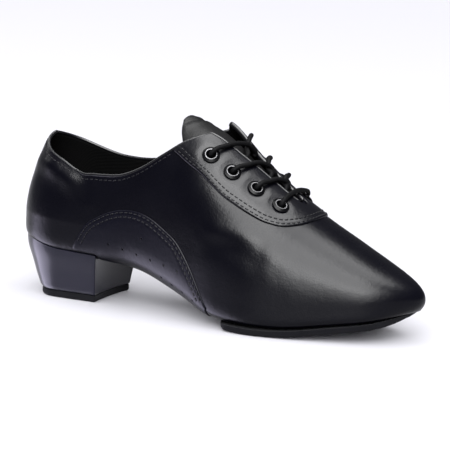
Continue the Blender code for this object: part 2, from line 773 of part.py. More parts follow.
first_x, first_share = EYELETS[0]
BAR_ROUTE = [
    (first_x, -first_share, 0.2),
    (first_x, -first_share, 2.4),
    (first_x, -first_share + 0.06, 3.9),
    (first_x, -first_share + 0.2, 3.2),
    (first_x, 0, 2.9),
    (first_x, first_share - 0.2, 3.2),
    (first_x, first_share - 0.06, 3.9),
    (first_x, first_share, 2.4),
    (first_x, first_share, 0.2),
]
OVER_HEIGHT = 2.6
UNDER_HEIGHT = 0.5
lace_curve("lace_bar_1", BAR_ROUTE, 13)
for number in (2, 3, 4):
    over = lace_curve("over_line", strand(number, -1, OVER_HEIGHT), 10)
    under = lace_curve("under_line", strand(number, 1, UNDER_HEIGHT), 10)
    crossing = as_mesh(over, f"lace_cross_{number}", shoe)
    boolean(crossing, "UNION", as_mesh(under, f"lace_under_{number}", cutters))
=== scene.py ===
"""Looks of the latin dance shoe for the right foot: black leather, suede sole, glossy heel."""
import math

import bmesh
import bpy
import numpy as np
from mathutils import Matrix, Vector
from mathutils.geometry import delaunay_2d_cdt


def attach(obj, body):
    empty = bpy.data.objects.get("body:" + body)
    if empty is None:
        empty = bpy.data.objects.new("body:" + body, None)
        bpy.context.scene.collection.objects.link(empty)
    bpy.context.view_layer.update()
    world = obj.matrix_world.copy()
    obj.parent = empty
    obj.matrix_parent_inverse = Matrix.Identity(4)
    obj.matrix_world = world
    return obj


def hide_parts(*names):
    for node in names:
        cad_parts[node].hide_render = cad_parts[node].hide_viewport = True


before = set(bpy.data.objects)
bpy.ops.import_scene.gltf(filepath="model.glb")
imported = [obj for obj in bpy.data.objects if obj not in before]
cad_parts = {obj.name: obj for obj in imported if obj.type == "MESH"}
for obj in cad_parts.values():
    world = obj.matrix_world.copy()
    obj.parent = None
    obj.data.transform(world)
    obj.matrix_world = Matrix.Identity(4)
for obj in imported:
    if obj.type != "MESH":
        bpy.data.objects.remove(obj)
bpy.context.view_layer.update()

# Insole: the thin footbed that the shoe is built on, a board covered with dark textile.
# It lies on the bottom of the last, so the form of the last is set out here first.
# Lengths are millimetres from the back of the heel, y to the inner side and z up from the floor.
MM = 0.001
LENGTH = 245.0
SIDE_SHIFT = 0.69
HEEL_X = 32.0
TOE_X = 212.0
TOE_ROUND = 2.6
TIP_SWELL = 0.55
SEAT_SLOPE = 0.108
WAIST_X = 96.0
WAIST_REACH = 42.0
# Sections of the last: x, bottom, swell, crown, half_lateral, half_medial, axis, n_bottom, m_top
BOTTOM, SWELL, CROWN, HALF_LATERAL, HALF_MEDIAL, AXIS, N_BOTTOM, M_TOP = range(1, 9)
LAST = [
    (32, 28.0, 47, 128, 30.5, 30.5, 0.0, 7.0, 1.22),
    (57, 25.3, 45, 125, 30.5, 30.0, 0.5, 4.6, 1.42),
    (80, 21.2, 42, 119, 31.5, 29.5, 2.0, 2.8, 1.80),
    (103, 12.6, 36, 113, 34.5, 31.5, 3.0, 2.6, 2.10),
    (120, 6.7, 30, 106, 38.0, 34.5, 3.0, 3.1, 2.25),
    (140, 3.5, 24, 91, 42.0, 38.5, 3.0, 5.8, 2.15),
    (160, 3.4, 20, 76, 43.0, 41.0, 3.0, 7.0, 2.10),
    (180, 4.4, 19, 63, 39.0, 41.5, 3.0, 7.8, 2.10),
    (200, 7.5, 20, 52.3, 32.5, 37.0, 3.5, 7.6, 2.10),
    (222, 11.2, 22, 41.5, 24.5, 28.0, 4.0, 6.6, 2.10),
    (245, 17.0, 26.5, 34.5, 14.0, 17.0, 4.5, 5.6, 2.10),
]


def spline(table, x, column=1):
    """Smooth curve through one column of a table."""
    xs = np.array([row[0] for row in table], float)
    ys = np.array([row[column] for row in table], float)
    x = np.asarray(x, float)
    h = np.diff(xs)
    d = np.diff(ys) / h
    m = np.empty_like(ys)
    m[1:-1] = (d[:-1] * h[1:] + d[1:] * h[:-1]) / (h[:-1] + h[1:])
    m[0] = d[0]
    m[-1] = d[-1]
    i = np.clip(np.searchsorted(xs, x, side="right") - 1, 0, len(h) - 1)
    t = np.clip((x - xs[i]) / h[i], 0, 1)
    left = (2 * t**3 - 3 * t**2 + 1) * ys[i] + (t**3 - 2 * t**2 + t) * h[i] * m[i]
    right = (3 * t**2 - 2 * t**3) * ys[i + 1] + (t**3 - t**2) * h[i] * m[i + 1]
    return left + right


def section(x, side):
    """Axis, half width, bottom, swell and crown of one half section with its two exponents."""
    c = np.sqrt(1 - np.clip((np.asarray(x, float) - TOE_X) / (LENGTH - TOE_X), 0, 1) ** TOE_ROUND)
    axis = spline(LAST, x, AXIS)
    half = np.where(side < 0, spline(LAST, x, HALF_LATERAL) + axis, spline(LAST, x, HALF_MEDIAL) - axis) * c
    bottom = spline(LAST, x, BOTTOM)
    swell = bottom + (spline(LAST, x, SWELL) - bottom) * (TIP_SWELL + (1 - TIP_SWELL) * c)
    crown = swell + (spline(LAST, x, CROWN) - swell) * c
    return axis, half, bottom, swell, crown, spline(LAST, x, N_BOTTOM), spline(LAST, x, M_TOP)


def underside(x, y):
    """Height of the bottom of the last over a point of the plan."""
    ahead = np.maximum(x, HEEL_X)
    side = np.where(y < spline(LAST, ahead, AXIS), -1, 1)
    axis, half, bottom, swell, crown, n, m = section(ahead, side)
    back = np.clip(HEEL_X - x, 0, None)
    share = np.clip(np.hypot((y - axis) / half, back / HEEL_X), 0, 0.995)
    return swell - (swell - bottom) * (1 - share**n) ** (1 / n) + back * SEAT_SLOPE


def bell(distance, width):
    """One at no distance, and soft to nothing past the width."""
    return np.exp(-((distance / width) ** 2))


def half_widths(x, inset, waist=0.0):
    """Outline of the last with an inset, more at the waist, to the lateral and the medial side."""
    inset = inset + waist * bell(x - WAIST_X, WAIST_REACH)
    sides = []
    for side in (-1, 1):
        axis, half = section(np.maximum(x, HEEL_X), side)[:2]
        k = np.clip((HEEL_X - x) / (HEEL_X - inset), 0, 1)
        sides.append(axis + side * np.maximum(half - inset, 0.3) * np.sqrt(1 - k**2))
    return sides


def away(points, line):
    """Distance from each point to a line through points, in the plan or in space."""
    points = np.asarray(points, float)[:, None]
    start = np.asarray(line, float)[:-1]
    step = np.diff(np.asarray(line, float), axis=0)
    t = ((points - start) * step).sum(-1) / np.maximum((step**2).sum(-1), 1e-12)
    gap = points - start - np.clip(t, 0, 1)[..., None] * step
    return np.sqrt((gap**2).sum(-1).min(1))


def within(points, loop):
    """True for the points inside a closed loop of the plan."""
    a = np.asarray(loop, float)
    b = np.roll(a, -1, 0)
    x, y = np.asarray(points, float).T[:, :, None]
    crosses = (a[:, 1] > y) != (b[:, 1] > y)
    rise = np.where(np.abs(b[:, 1] - a[:, 1]) < 1e-12, 1e-12, b[:, 1] - a[:, 1])
    left = x < (b[:, 0] - a[:, 0]) * (y - a[:, 1]) / rise + a[:, 0]
    return (crosses & left).sum(1) % 2 == 1


def resampled(line, step):
    """A line with points at even steps."""
    line = np.asarray(line, float)
    s = np.concatenate([[0], np.cumsum(np.linalg.norm(np.diff(line, axis=0), axis=1))])
    where = np.linspace(0, s[-1], max(int(round(s[-1] / step)), 2) + 1)
    return np.stack([np.interp(where, s, line[:, k]) for k in range(line.shape[1])], -1)


def ringed(loop):
    """A loop with its first point again at the end."""
    return np.vstack([loop, loop[:1]])


def evened(loop, step):
    """A closed loop with points at even steps."""
    return resampled(ringed(loop), step)[:-1]


def outline(x, left, right):
    """A loop along one side and back along the other."""
    return np.concatenate([np.stack([x, left], -1), np.stack([x, right], -1)[::-1]])


def unit(vectors):
    """Vectors brought to a length of one."""
    return vectors / np.maximum(np.linalg.norm(vectors, axis=-1, keepdims=True), 1e-9)


def rounding(distance, width):
    """One at an edge, eased to nothing at a width from it."""
    return (1 - np.clip(distance / width, 0, 1)) ** 2


# A ring of points just outside each hole keeps the shading flat there; points lie in rows of triangles
HOLE_RIM = 0.15
ROW_RATIO = 0.866
ROW_SLACK = 0.93
EDGE_CLEAR = 0.55
HOLE_CLEAR = 0.4


def cut_pattern(loop, holes=(), *, step, edge_rows):
    """Points and triangles of a flat cut with holes, with extra rows of points along its edge."""
    holes = [np.asarray(hole, float) for hole in holes]
    points = list(np.concatenate([loop] + holes))
    edges = []
    start = 0
    for ring in [loop] + holes:
        edges += [(start + i, start + (i + 1) % len(ring)) for i in range(len(ring))]
        start += len(ring)
    after = np.roll(loop, -1, 0)
    ahead = after - np.roll(loop, 1, 0)
    inward = unit(np.stack([-ahead[:, 1], ahead[:, 0]], -1))
    if (loop[:, 0] * after[:, 1] - loop[:, 1] * after[:, 0]).sum() < 0:
        inward = -inward
    for row in edge_rows:
        ring = loop + inward * row
        clear = (away(ring, ringed(loop)) > row * ROW_SLACK) & within(ring, loop)
        points += list(ring[clear])
    for hole in holes:
        points += list(hole + unit(hole - hole.mean(0)) * HOLE_RIM)
    low = loop.min(0)
    high = loop.max(0)
    x, y = np.meshgrid(np.arange(low[0], high[0], step), np.arange(low[1], high[1], step * ROW_RATIO))
    x = x + (np.arange(x.shape[0])[:, None] % 2) * step / 2
    inner = np.stack([x.ravel(), y.ravel()], -1)
    inner = inner[within(inner, loop)]
    inner = inner[away(inner, ringed(loop)) > max(edge_rows) + step * EDGE_CLEAR]
    for hole in holes:
        inner = inner[away(inner, ringed(hole)) > step * HOLE_CLEAR]
        inner = inner[~within(inner, hole)]
    points += list(inner)
    made = delaunay_2d_cdt([Vector(p) for p in points], edges, [], 0, 1e-5)
    flat = np.array([tuple(v) for v in made[0]])
    faces = np.array([f for f in made[2] if len(f) == 3])
    centres = flat[faces].mean(1)
    keep = within(centres, loop)
    for hole in holes:
        keep &= ~within(centres, hole)
    return flat, faces[keep]


def mesh_object(name, points, faces, finish):
    """A smooth mesh from points in millimetres."""
    mesh = bpy.data.meshes.new(name)
    place = (np.asarray(points, float) + (-LENGTH / 2, SIDE_SHIFT, 0)) * MM
    mesh.from_pydata(place.tolist(), [], [tuple(int(i) for i in f) for f in faces])
    mesh.materials.append(finish)
    mesh.shade_smooth()
    obj = bpy.data.objects.new(name, mesh)
    bpy.context.scene.collection.objects.link(obj)
    return obj


def thicken(obj, thickness):
    """Gives a sheet its thickness on the inner side."""
    wall = obj.modifiers.new("thickness", "SOLIDIFY")
    wall.thickness = thickness * MM
    wall.offset = -1


class Shade:
    """A shader socket whose sums are written as Python expressions."""

    def __init__(self, tree, socket=None):
        self.tree = tree
        self.socket = socket

    def node(self, kind, settings=None, inputs=None, output=0):
        """Adds a node from its type, its settings and the values or links of its sockets."""
        made = self.tree.nodes.new(kind)
        for key, value in (settings or {}).items():
            setattr(made, key, value)
        for key, value in (inputs or {}).items():
            if isinstance(value, Shade):
                self.tree.links.new(value.socket, made.inputs[key])
            else:
                made.inputs[key].default_value = value
        return Shade(self.tree, made.outputs[output])

    def math(self, operation, first, second):
        """A Math node on two values."""
        return self.node("ShaderNodeMath", {"operation": operation}, {0: first, 1: second})

    def __add__(self, other):
        return self.math("ADD", self, other)

    def __mul__(self, other):
        return self.math("MULTIPLY", self, other)

    def __sub__(self, other):
        return self.math("SUBTRACT", self, other)

    def __rsub__(self, other):
        return self.math("SUBTRACT", other, self)

    def noise(self, scale, detail, output="Fac"):
        """Cloudy noise at this place, with so many clouds to the metre."""
        inputs = {"Vector": self, "Scale": scale, "Detail": detail}
        return self.node("ShaderNodeTexNoise", None, inputs, output)

    def mixed(self, dark, light):
        """A colour between two colours, by this value."""
        inputs = {0: self, 6: (*dark, 1), 7: (*light, 1)}
        return self.node("ShaderNodeMix", {"data_type": "RGBA"}, inputs, 2)


def new_finish(name, **constants):
    """A material with its constant sockets set, and a start for its shader sums."""
    mat = bpy.data.materials.new(name)
    mat.use_nodes = True
    surface = mat.node_tree.nodes["Principled BSDF"]
    for key, value in constants.items():
        surface.inputs[key.replace("_", " ")].default_value = value
    return mat, Shade(mat.node_tree), surface


def feed(shade, surface, socket):
    """Links a worked-out value to a socket of the surface."""
    shade.tree.links.new(shade.socket, surface.inputs[socket])


def feed_bump(height, surface, depth):
    """Bump from a height between 0 and 1 and a depth in millimetres."""
    inputs = {"Height": height, "Distance": depth * MM, "Strength": 1.0}
    feed(height.node("ShaderNodeBump", None, inputs), surface, "Normal")


def textile(name, dark, light, weave):
    """Dense cloth with a fine plain weave of the given pitch in millimetres."""
    mat, shade, surface = new_finish(name, Specular_IOR_Level=0.03)
    place = shade.node("ShaderNodeTexCoord", output="Object")
    wave = {"Vector": place, "Scale": 1 / (weave * MM * 3.3), "Distortion": 0.6, "Detail": 1.0}
    warp = shade.node("ShaderNodeTexWave", {"bands_direction": "X"}, wave, "Fac")
    weft = shade.node("ShaderNodeTexWave", {"bands_direction": "Y"}, wave, "Fac")
    cloud = place.noise(60.0, 3.0)
    threads = warp * weft
    feed((threads * 0.6 + cloud * 0.5).mixed(dark, light), surface, "Base Color")
    feed(cloud * 0.15 + 0.72, surface, "Roughness")
    feed_bump(threads, surface, 0.12)
    return mat


INSOLE_INSET = 5.4
INSOLE_WAIST = 4.0
INSOLE_THICK = 2.0
INSOLE_RISE = 2.1
INSOLE_SHEET = 1.4
INSOLE_EDGE = 1.2
INSOLE_THIN = 0.5
INSOLE_TOE_X = 213.0
INSOLE_TOE = 23.0
heel_turn = np.sin(np.radians(np.linspace(90, 3, 24)))
toe_turn = np.sin(np.radians(np.linspace(3, 88, 20)))
insole_x = np.concatenate([
    HEEL_X - (HEEL_X - INSOLE_INSET - 1) * heel_turn,
    np.arange(HEEL_X + 1, INSOLE_TOE_X, 2.0),
    INSOLE_TOE_X + INSOLE_TOE * toe_turn,
])
insole_loop = evened(outline(insole_x, *half_widths(insole_x, INSOLE_INSET, INSOLE_WAIST)), 1.5)
flat, faces = cut_pattern(insole_loop, step=2.4, edge_rows=(0.5, INSOLE_EDGE))
insole_z = underside(*flat.T) + INSOLE_RISE + INSOLE_THICK
insole_z -= INSOLE_THIN * rounding(away(flat, ringed(insole_loop)), INSOLE_EDGE)
insole_cloth = textile("insole_cloth", (0.004, 0.004, 0.0045), (0.012, 0.012, 0.013), 0.7)
footbed = mesh_object("footbed", np.column_stack([flat, insole_z]), faces, insole_cloth)
thicken(footbed, INSOLE_SHEET)
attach(footbed, "root")
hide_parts("insole")

# Upper: one shell of smooth black leather pulled over the last, open at the collar and the throat.
# Its margin turns in under the foot, and under the arch its two sides meet in a centre seam.
# Soft troughs and ridges where the foot bends and the collar gives are placed one by one.
LEATHER = 0.95
CORNER_X = 119.0
THROAT_X = 170.0
EYELET_HOLE = 2.7
EYELET_REACH = 6.0
WELD = 0.06
# Turned margin: its width, its least share of the half width, its share at the tip of the toe
MARGIN = 8.0
MARGIN_SHARE = 0.35
TIP_MARGIN = 0.3
TIP_CLOSED = 5.0
MARGIN_ROWS = np.array([0, 0.35, 0.7])
ARCH_CLOSED = (48.0, 140.0)
# Raised corner of the inner facing: height, reach along the foot, and its limits from the middle line
FACING_LIFT = 3.8
LIFT_ALONG = 17.0
LIFT_OUTER = 24.0
LIFT_INNER = 11.0
LIFT_MIDDLE = 9.0
# The slope of the seat ends up the back of the heel
SLOPE_TOP = 70.0
SLOPE_FADE = 40.0
# The toe rounds under: where it starts along the foot and in height, over what height, how far, at most
TUCK_X = 222.0
TUCK_Z = 22.5
TUCK_DROP = 7.0
TUCK = 4.2
TUCK_MOST = 1.4
# Back of the heel: z, x
BACK = [
    (28, 2.4),
    (38, 0.5),
    (47, 0.0),
    (58, 0.9),
    (70, 3.6),
    (80, 7.0),
    (93, 13.0),
    (100, 17.0),
    (128, 32.0),
]
# Collar round the heel: angle from the back, z_lateral, z_medial
COLLAR_BACK = [(0, 93.5, 93.5), (30, 90.0, 91.5), (60, 85.0, 88.5), (90, 80.3, 84.5)]
# Collar along the foot: x, z_lateral, z_medial
COLLAR_SIDE = [
    (32, 80.3, 84.5),
    (40, 76.6, 82.0),
    (47, 74.5, 80.4),
    (52, 74.9, 79.9),
    (60, 75.3, 79.6),
    (72, 77.0, 81.0),
    (84, 82.5, 85.5),
    (96, 91.0, 92.5),
    (108, 99.0, 99.5),
    (119, 103.6, 103.2),
]
# Edge of the throat: x, share of the half width
THROAT = [(119, 0.331), (133, 0.228), (146, 0.154), (157, 0.112), (165, 0.092), (170, 0.062)]
# Eyelets from the toe: x, share of the half width
EYELETS = [(165.0, 0.418), (151.0, 0.467), (137.2, 0.532), (124.2, 0.580)]
CREASE_FADE = 2.4
CREASE_END = 0.1
CREASE_CLEAR = 4.0
# Creases: side, start (x, z), middle, end, width, depth, with a trough below zero
CREASES = [
    (-1, (160, 50), (157, 46), (168, 35), 5.0, -0.5),
    (-1, (126, 54), (147, 57), (165, 50), 5.0, 0.8),
    (-1, (170, 57), (166, 48), (176, 34), 6.0, 0.5),
    (-1, (128, 46), (144, 47.5), (162, 42), 5.5, -0.6),
    (-1, (17, 84), (36, 78.5), (54, 69.5), 3.6, -0.6),
    (-1, (11, 81.5), (30, 75.5), (50, 63.5), 6.5, 2.2),
    (-1, (98, 86), (106, 78), (110, 66), 6.0, -0.5),
    (1, (153, 55), (161, 48), (159, 34), 4.6, -0.85),
    (1, (132, 60), (148, 60), (161, 55), 5.0, 0.7),
    (1, (122, 51), (137, 52), (150, 45), 5.0, -0.5),
    (1, (34, 77), (46, 74.5), (60, 73), 5.0, 0.8),
    (1, (30, 67), (46, 66), (62, 67), 4.5, -0.4),
]
STEPS = 140
SWEEP = np.linspace(0, 1, STEPS)
THETA = np.radians(np.concatenate([-90 + 90 * SWEEP**3, 90 * SWEEP[1:]]))
LOW = THETA <= 0


def lift(x, offset):
    """The inner facing stands up a little at its top corner."""
    along = bell(np.asarray(x, float) - CORNER_X, LIFT_ALONG)
    near = np.clip((LIFT_OUTER - offset) / (LIFT_OUTER - LIFT_INNER), 0, 1)
    return FACING_LIFT * along * near**2 * (3 - 2 * near) * np.clip(offset / LIFT_MIDDLE, 0, 1)


def half_line(x, phi, side):
    """Dense half section from the bottom centre to the crown, swept round the heel where phi is under 90."""
    axis, half, bottom, swell, crown, n, m = section(x, side)
    c = np.abs(np.cos(THETA))
    s = np.abs(np.sin(THETA))
    share = np.where(LOW, c ** (2 / n), c ** (2 / m))
    share[0] = 0
    share[-1] = 0
    below = swell - (swell - bottom) * s ** (2 / n)
    z = np.where(LOW, below, swell + (crown - swell) * s ** (2 / m))
    offset = half * share
    if phi >= 90:
        if side > 0:
            z = z + np.where(LOW, 0, lift(x, offset))
        return np.stack([np.full_like(z, x), axis + side * offset, z], -1), offset
    depth = np.where(LOW, HEEL_X * share, HEEL_X - spline(BACK, z))
    px = HEEL_X - depth * math.cos(math.radians(phi))
    py = side * offset * math.sin(math.radians(phi))
    z = z + (HEEL_X - px) * SEAT_SLOPE * np.clip((SLOPE_TOP - z) / SLOPE_FADE, 0, 1)
    return np.stack([px, py, z], -1), offset


def arc(line):
    """Length along a line at each of its points."""
    return np.concatenate([[0], np.cumsum(np.linalg.norm(np.diff(line, axis=0), axis=1))])


def at(line, s, where):
    """Points of a line at given lengths along it."""
    return np.stack([np.interp(where, s, line[:, k]) for k in range(line.shape[1])], -1)


def top_cut(x, phi, side, line, offset, s):
    """Where the collar, the throat or the crown ends a half section."""
    high = np.arange(len(s)) >= STEPS - 1
    column = 1 if side < 0 else 2
    if phi < 90:
        return np.interp(spline(COLLAR_BACK, phi, column), line[high, 2], s[high])
    if x < CORNER_X - 0.01:
        return np.interp(spline(COLLAR_SIDE, x, column), line[high, 2], s[high])
    if x <= THROAT_X + 0.01:
        return np.interp(-spline(THROAT, x) * offset.max(), -offset[high], s[high])
    return s[-1]


def margin_cut(offset, s):
    """Where the turned margin under the foot ends."""
    half = offset.max()
    if half < 0.01:
        return s[STEPS - 1] * TIP_MARGIN
    return np.interp(max(half - MARGIN, MARGIN_SHARE * half), offset[:STEPS], s[:STEPS])


def upper_grid(stations, low_rows, high_rows, side):
    """Points of one side from the centre below to the top edge, and which stations are closed below."""
    rows = []
    closed = []
    for x, phi in stations:
        line, offset = half_line(x, phi, side)
        s = arc(line)
        margin = margin_cut(offset, s)
        swell = s[STEPS - 1]
        top = top_cut(x, phi, side, line, offset, s)
        low = margin + (swell - margin) * low_rows
        high = swell + (top - swell) * high_rows
        rows.append(at(line, s, np.concatenate([margin * MARGIN_ROWS, low, high[1:]])))
        at_arch = ARCH_CLOSED[0] < x < ARCH_CLOSED[1]
        at_tip = x > TOE_X and offset.max() < MARGIN + TIP_CLOSED
        closed.append(phi >= 90 and (at_arch or at_tip))
    return np.array(rows), np.array(closed)


def grid_normals(grid, side):
    """Outward normals of a grid of points."""
    out = unit(np.cross(np.gradient(grid, axis=0), np.gradient(grid, axis=1)) * -side)
    out[grid[..., 0] > LENGTH - 0.01] = (1, 0, 0)
    return out


def creased(points, side):
    """How far the leather stands out or sinks in at points of one side."""
    total = np.zeros(points.shape[:-1])
    flat = points.reshape(-1, 3)[:, [0, 2]]
    for which, start, middle, end, width, depth in CREASES:
        if which != side:
            continue
        t = np.linspace(0, 1, 13)[:, None]
        line = (1 - t) ** 2 * np.array(start) + 2 * t * (1 - t) * np.array(middle) + t**2 * np.array(end)
        ends = np.minimum(np.hypot(*(flat - line[0]).T), np.hypot(*(flat - line[-1]).T))
        fade = np.clip(ends / (width * CREASE_FADE), 0, 1)
        fade = fade * fade * (3 - 2 * fade) * (1 - CREASE_END) + CREASE_END
        total += (depth * fade * bell(away(flat, line), width)).reshape(total.shape)
    return total


def tucked(points):
    """The toe rounds under: its lower front is drawn back."""
    near = np.clip((points[..., 0] - TUCK_X) / (LENGTH - TUCK_X), 0, 1)
    low = np.clip((TUCK_Z - points[..., 2]) / TUCK_DROP, 0, TUCK_MOST)
    moved = points.copy()
    moved[..., 0] -= TUCK * near**2 * low**2
    return moved


def instep(x, y, up=0.0, raised=True):
    """Points over the instep from the plan, moved along the normal, and those normals."""
    def height(px, py):
        axis, half, bottom, swell, crown, n, m = section(px, np.where(py < spline(LAST, px, AXIS), -1, 1))
        offset = py - axis
        z = swell + (crown - swell) * (1 - np.clip(np.abs(offset) / half, 0, 0.9999) ** m) ** (1 / m)
        return z + (lift(px, offset) if raised else 0)

    x = np.asarray(x, float)
    y = np.asarray(y, float)
    d = 0.4
    dx = (height(x + d, y) - height(x - d, y)) / (2 * d)
    dy = (height(x, y + d) - height(x, y - d)) / (2 * d)
    n = unit(np.stack([-dx, -dy, np.ones_like(dx)], -1))
    place = np.stack([x, y, height(x, y)], -1)
    return place + n * np.broadcast_to(up, x.shape)[..., None], n


def across(x, share):
    """Side position at a share of the half width, below zero to the lateral side."""
    axis, half = section(x, np.where(np.asarray(share) < 0, -1, 1))[:2]
    return axis + np.asarray(share) * half


eyelet_spots = []
for x, share in EYELETS:
    for side in (-1, 1):
        spot, axis = instep(np.array([x]), across(np.array([x]), np.array([side * share])))
        eyelet_spots.append((spot[0], axis[0]))


def clear_of_eyelets(centres, radius):
    """True away from the eyelet holes."""
    clear = np.ones(len(centres), bool)
    for spot, axis in eyelet_spots:
        gap = centres - spot
        depth = gap @ axis
        from_axis = np.linalg.norm(gap - depth[:, None] * axis, axis=1)
        clear &= (from_axis > radius) | (np.abs(depth) > EYELET_REACH)
    return clear


def grid_faces(shape, closed, middle, flip):
    """Quads of a grid without those that lie in the openings underneath."""
    i, j = np.meshgrid(np.arange(shape[0] - 1), np.arange(shape[1] - 1), indexing="ij")
    keep = (j >= middle) | (closed[:-1] & closed[1:])[:, None]
    a = (i * shape[1] + j)[keep]
    quads = np.stack([a, a + shape[1], a + shape[1] + 1, a + 1], -1)
    return quads[:, ::-1] if flip else quads


def shell(name, stations, low_rows, high_rows, inset, finish, folds):
    """Both sides of the upper at an inset from its outer face, joined along the middle."""
    points = []
    faces = []
    for side in (-1, 1):
        grid, closed = upper_grid(stations, low_rows, high_rows, side)
        out = grid_normals(grid, side)
        middle = np.abs(grid[..., 1] - spline(LAST, np.clip(grid[..., 0], HEEL_X, None), AXIS))
        bulge = folds * creased(grid, side) * np.clip(middle / CREASE_CLEAR, 0, 1) - inset
        moved = grid + out * bulge[..., None]
        quads = grid_faces(grid.shape, closed, len(MARGIN_ROWS), side > 0)
        centres = moved.reshape(-1, 3)[quads].mean(1)
        faces.append(quads[clear_of_eyelets(centres, EYELET_HOLE)] + sum(len(p) for p in points))
        points.append(tucked(moved.reshape(-1, 3)))
    obj = mesh_object(name, np.concatenate(points), np.concatenate(faces), finish)
    bm = bmesh.new()
    bm.from_mesh(obj.data)
    bmesh.ops.remove_doubles(bm, verts=bm.verts[:], dist=WELD * MM)
    bmesh.ops.delete(bm, geom=[v for v in bm.verts if not v.link_faces], context="VERTS")
    bm.to_mesh(obj.data)
    bm.free()
    return obj


def leather(name, dark, light, rough, grain=0.24, coat=0.02, shine=0.08):
    """Smooth finished calf: faint pebble, finer pores, and gloss that changes a little over the skin."""
    mat, shade, surface = new_finish(
        name, Specular_IOR_Level=shine, Coat_Weight=coat, Coat_Roughness=0.32, Coat_IOR=1.3)
    place = shade.node("ShaderNodeTexCoord", output="Object")
    warp = place.noise(300.0, 2.0, "Color")
    bent = shade.node("ShaderNodeMix", {"data_type": "VECTOR"}, {0: 0.0006, 4: place, 5: warp}, 1)
    pebble = shade.node(
        "ShaderNodeTexVoronoi", {"feature": "SMOOTH_F1"},
        {"Vector": bent, "Scale": 1150.0, "Smoothness": 0.4}, "Distance")
    pores = place.noise(2600.0, 2.0)
    cloud = place.noise(28.0, 4.0)
    swell = place.noise(75.0, 3.0)
    feed(cloud.mixed(dark, light), surface, "Base Color")
    feed(cloud * 0.14 + pores * 0.08 + (rough - 0.11), surface, "Roughness")
    skin = place.noise(380.0, 3.0)
    feed_bump(swell * 0.55 + skin * 0.4 + pebble * 0.15 + pores * 0.05, surface, grain)
    return mat


STATION_STEP = 1.25
heel_angles = np.concatenate([[0, 0.7, 1.5, 2.6], np.linspace(4.5, 88.4, 46)])
along = np.concatenate([
    np.arange(HEEL_X, THROAT_X + 0.1, STATION_STEP),
    [THROAT_X + 0.01, THROAT_X + 0.8],
    np.arange(THROAT_X + 2, TOE_X, STATION_STEP),
    TOE_X + (LENGTH - TOE_X) * np.sin(np.radians(np.linspace(1.5, 90, 34))),
])
stations = [(HEEL_X, angle) for angle in heel_angles] + [(x, 90) for x in along]
low_rows = np.linspace(0, 1, 22) ** 0.9
high_rows = np.linspace(0, 1, 46)
upper_leather = leather("upper_leather", (0.0002, 0.0002, 0.0006), (0.0005, 0.0005, 0.0012), rough=0.29)
upper = shell("upper_leather_shell", stations, low_rows, high_rows, 0.0, upper_leather, 1.0)
thicken(upper, LEATHER)
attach(upper, "root")
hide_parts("upper")

# Lining: thin dark textile glued to the inner face of the upper, seen through the collar.
# It is cut to the shape of the leather and ends under the turned edge of the collar.
LINING_THICK = 0.5
LINING_INSET = LEATHER + 0.05
lining_cloth = textile("lining_cloth", (0.0002, 0.0002, 0.0002), (0.0006, 0.0006, 0.0007), 0.6)
lining_stations = stations[:-1:2] + stations[-1:]
lining = shell("lining", lining_stations, low_rows[::2], high_rows[::3], LINING_INSET, lining_cloth, 0.0)
thicken(lining, LINING_THICK)
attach(lining, "root")

# Tongue: a soft strip of grey-black leather over its own lining, sewn in at the throat under the facings.
# Its round top stands clear of the collar and is slightly creased from being pulled forward.
TONGUE_LEVEL = -3.3
TONGUE_THICK = 1.8
TONGUE_TOP_X = 99.3
TONGUE_LONG = 75.7
TONGUE_EDGE = 1.5
TONGUE_THIN = 0.9
# x, share of the half width
TONGUE = [
    (99.4, 0.27),
    (100.6, 0.42),
    (103.0, 0.55),
    (106.5, 0.64),
    (111, 0.69),
    (118, 0.66),
    (126, 0.58),
    (135, 0.50),
    (144, 0.43),
    (153, 0.37),
    (162, 0.32),
    (169, 0.28),
    (175, 0.25),
]
# Crease across the top: x, y
TONGUE_CREASE = [(101.5, -9.0), (106.5, 1.0), (108.0, 13.0)]
TROUGH_DEPTH = 0.7
TROUGH_WIDTH = 1.0
RIDGE_HEIGHT = 0.55
RIDGE_WIDTH = 1.5
RIDGE_AWAY = 2.6
tongue_x = TONGUE_TOP_X + TONGUE_LONG * np.linspace(0, 1, 120) ** 1.6
tongue_share = spline(TONGUE, tongue_x)
tongue_loop = evened(outline(tongue_x, across(tongue_x, -tongue_share), across(tongue_x, tongue_share)), 1.0)
flat, faces = cut_pattern(tongue_loop, step=1.4, edge_rows=(0.35, 0.8, 1.4))
fold = away(flat, resampled(TONGUE_CREASE, 1.0))
tongue_up = TONGUE_LEVEL - TONGUE_THIN * rounding(away(flat, ringed(tongue_loop)), TONGUE_EDGE)
tongue_up -= TROUGH_DEPTH * bell(fold, TROUGH_WIDTH)
tongue_up += RIDGE_HEIGHT * bell(fold - RIDGE_AWAY, RIDGE_WIDTH)
tongue_leather = leather(
    "tongue_leather", (0.0012, 0.0012, 0.0013), (0.0030, 0.0030, 0.0032), rough=0.46, grain=0.3, shine=0.06)
tongue = mesh_object("tongue_strip", instep(*flat.T, tongue_up, False)[0], faces, tongue_leather)
thicken(tongue, TONGUE_THICK)
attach(tongue, "root")
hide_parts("tongue")

# Eyestay: a U of the same leather laid over the front of the upper, its edge thinned and held by two rows
# of stitching. The eyelets are punched through it.
STAY_TOP = 1.1
STAY_LEATHER = 0.6
STAY_HOLE = 2.9
STAY_ROWS = (1.5, 4.1)
STAY_END_X = 101.0
STAY_EDGE = 1.3
STAY_THIN = 0.55
STAY_BACK = 0.015
THROAT_BEND = 2.5
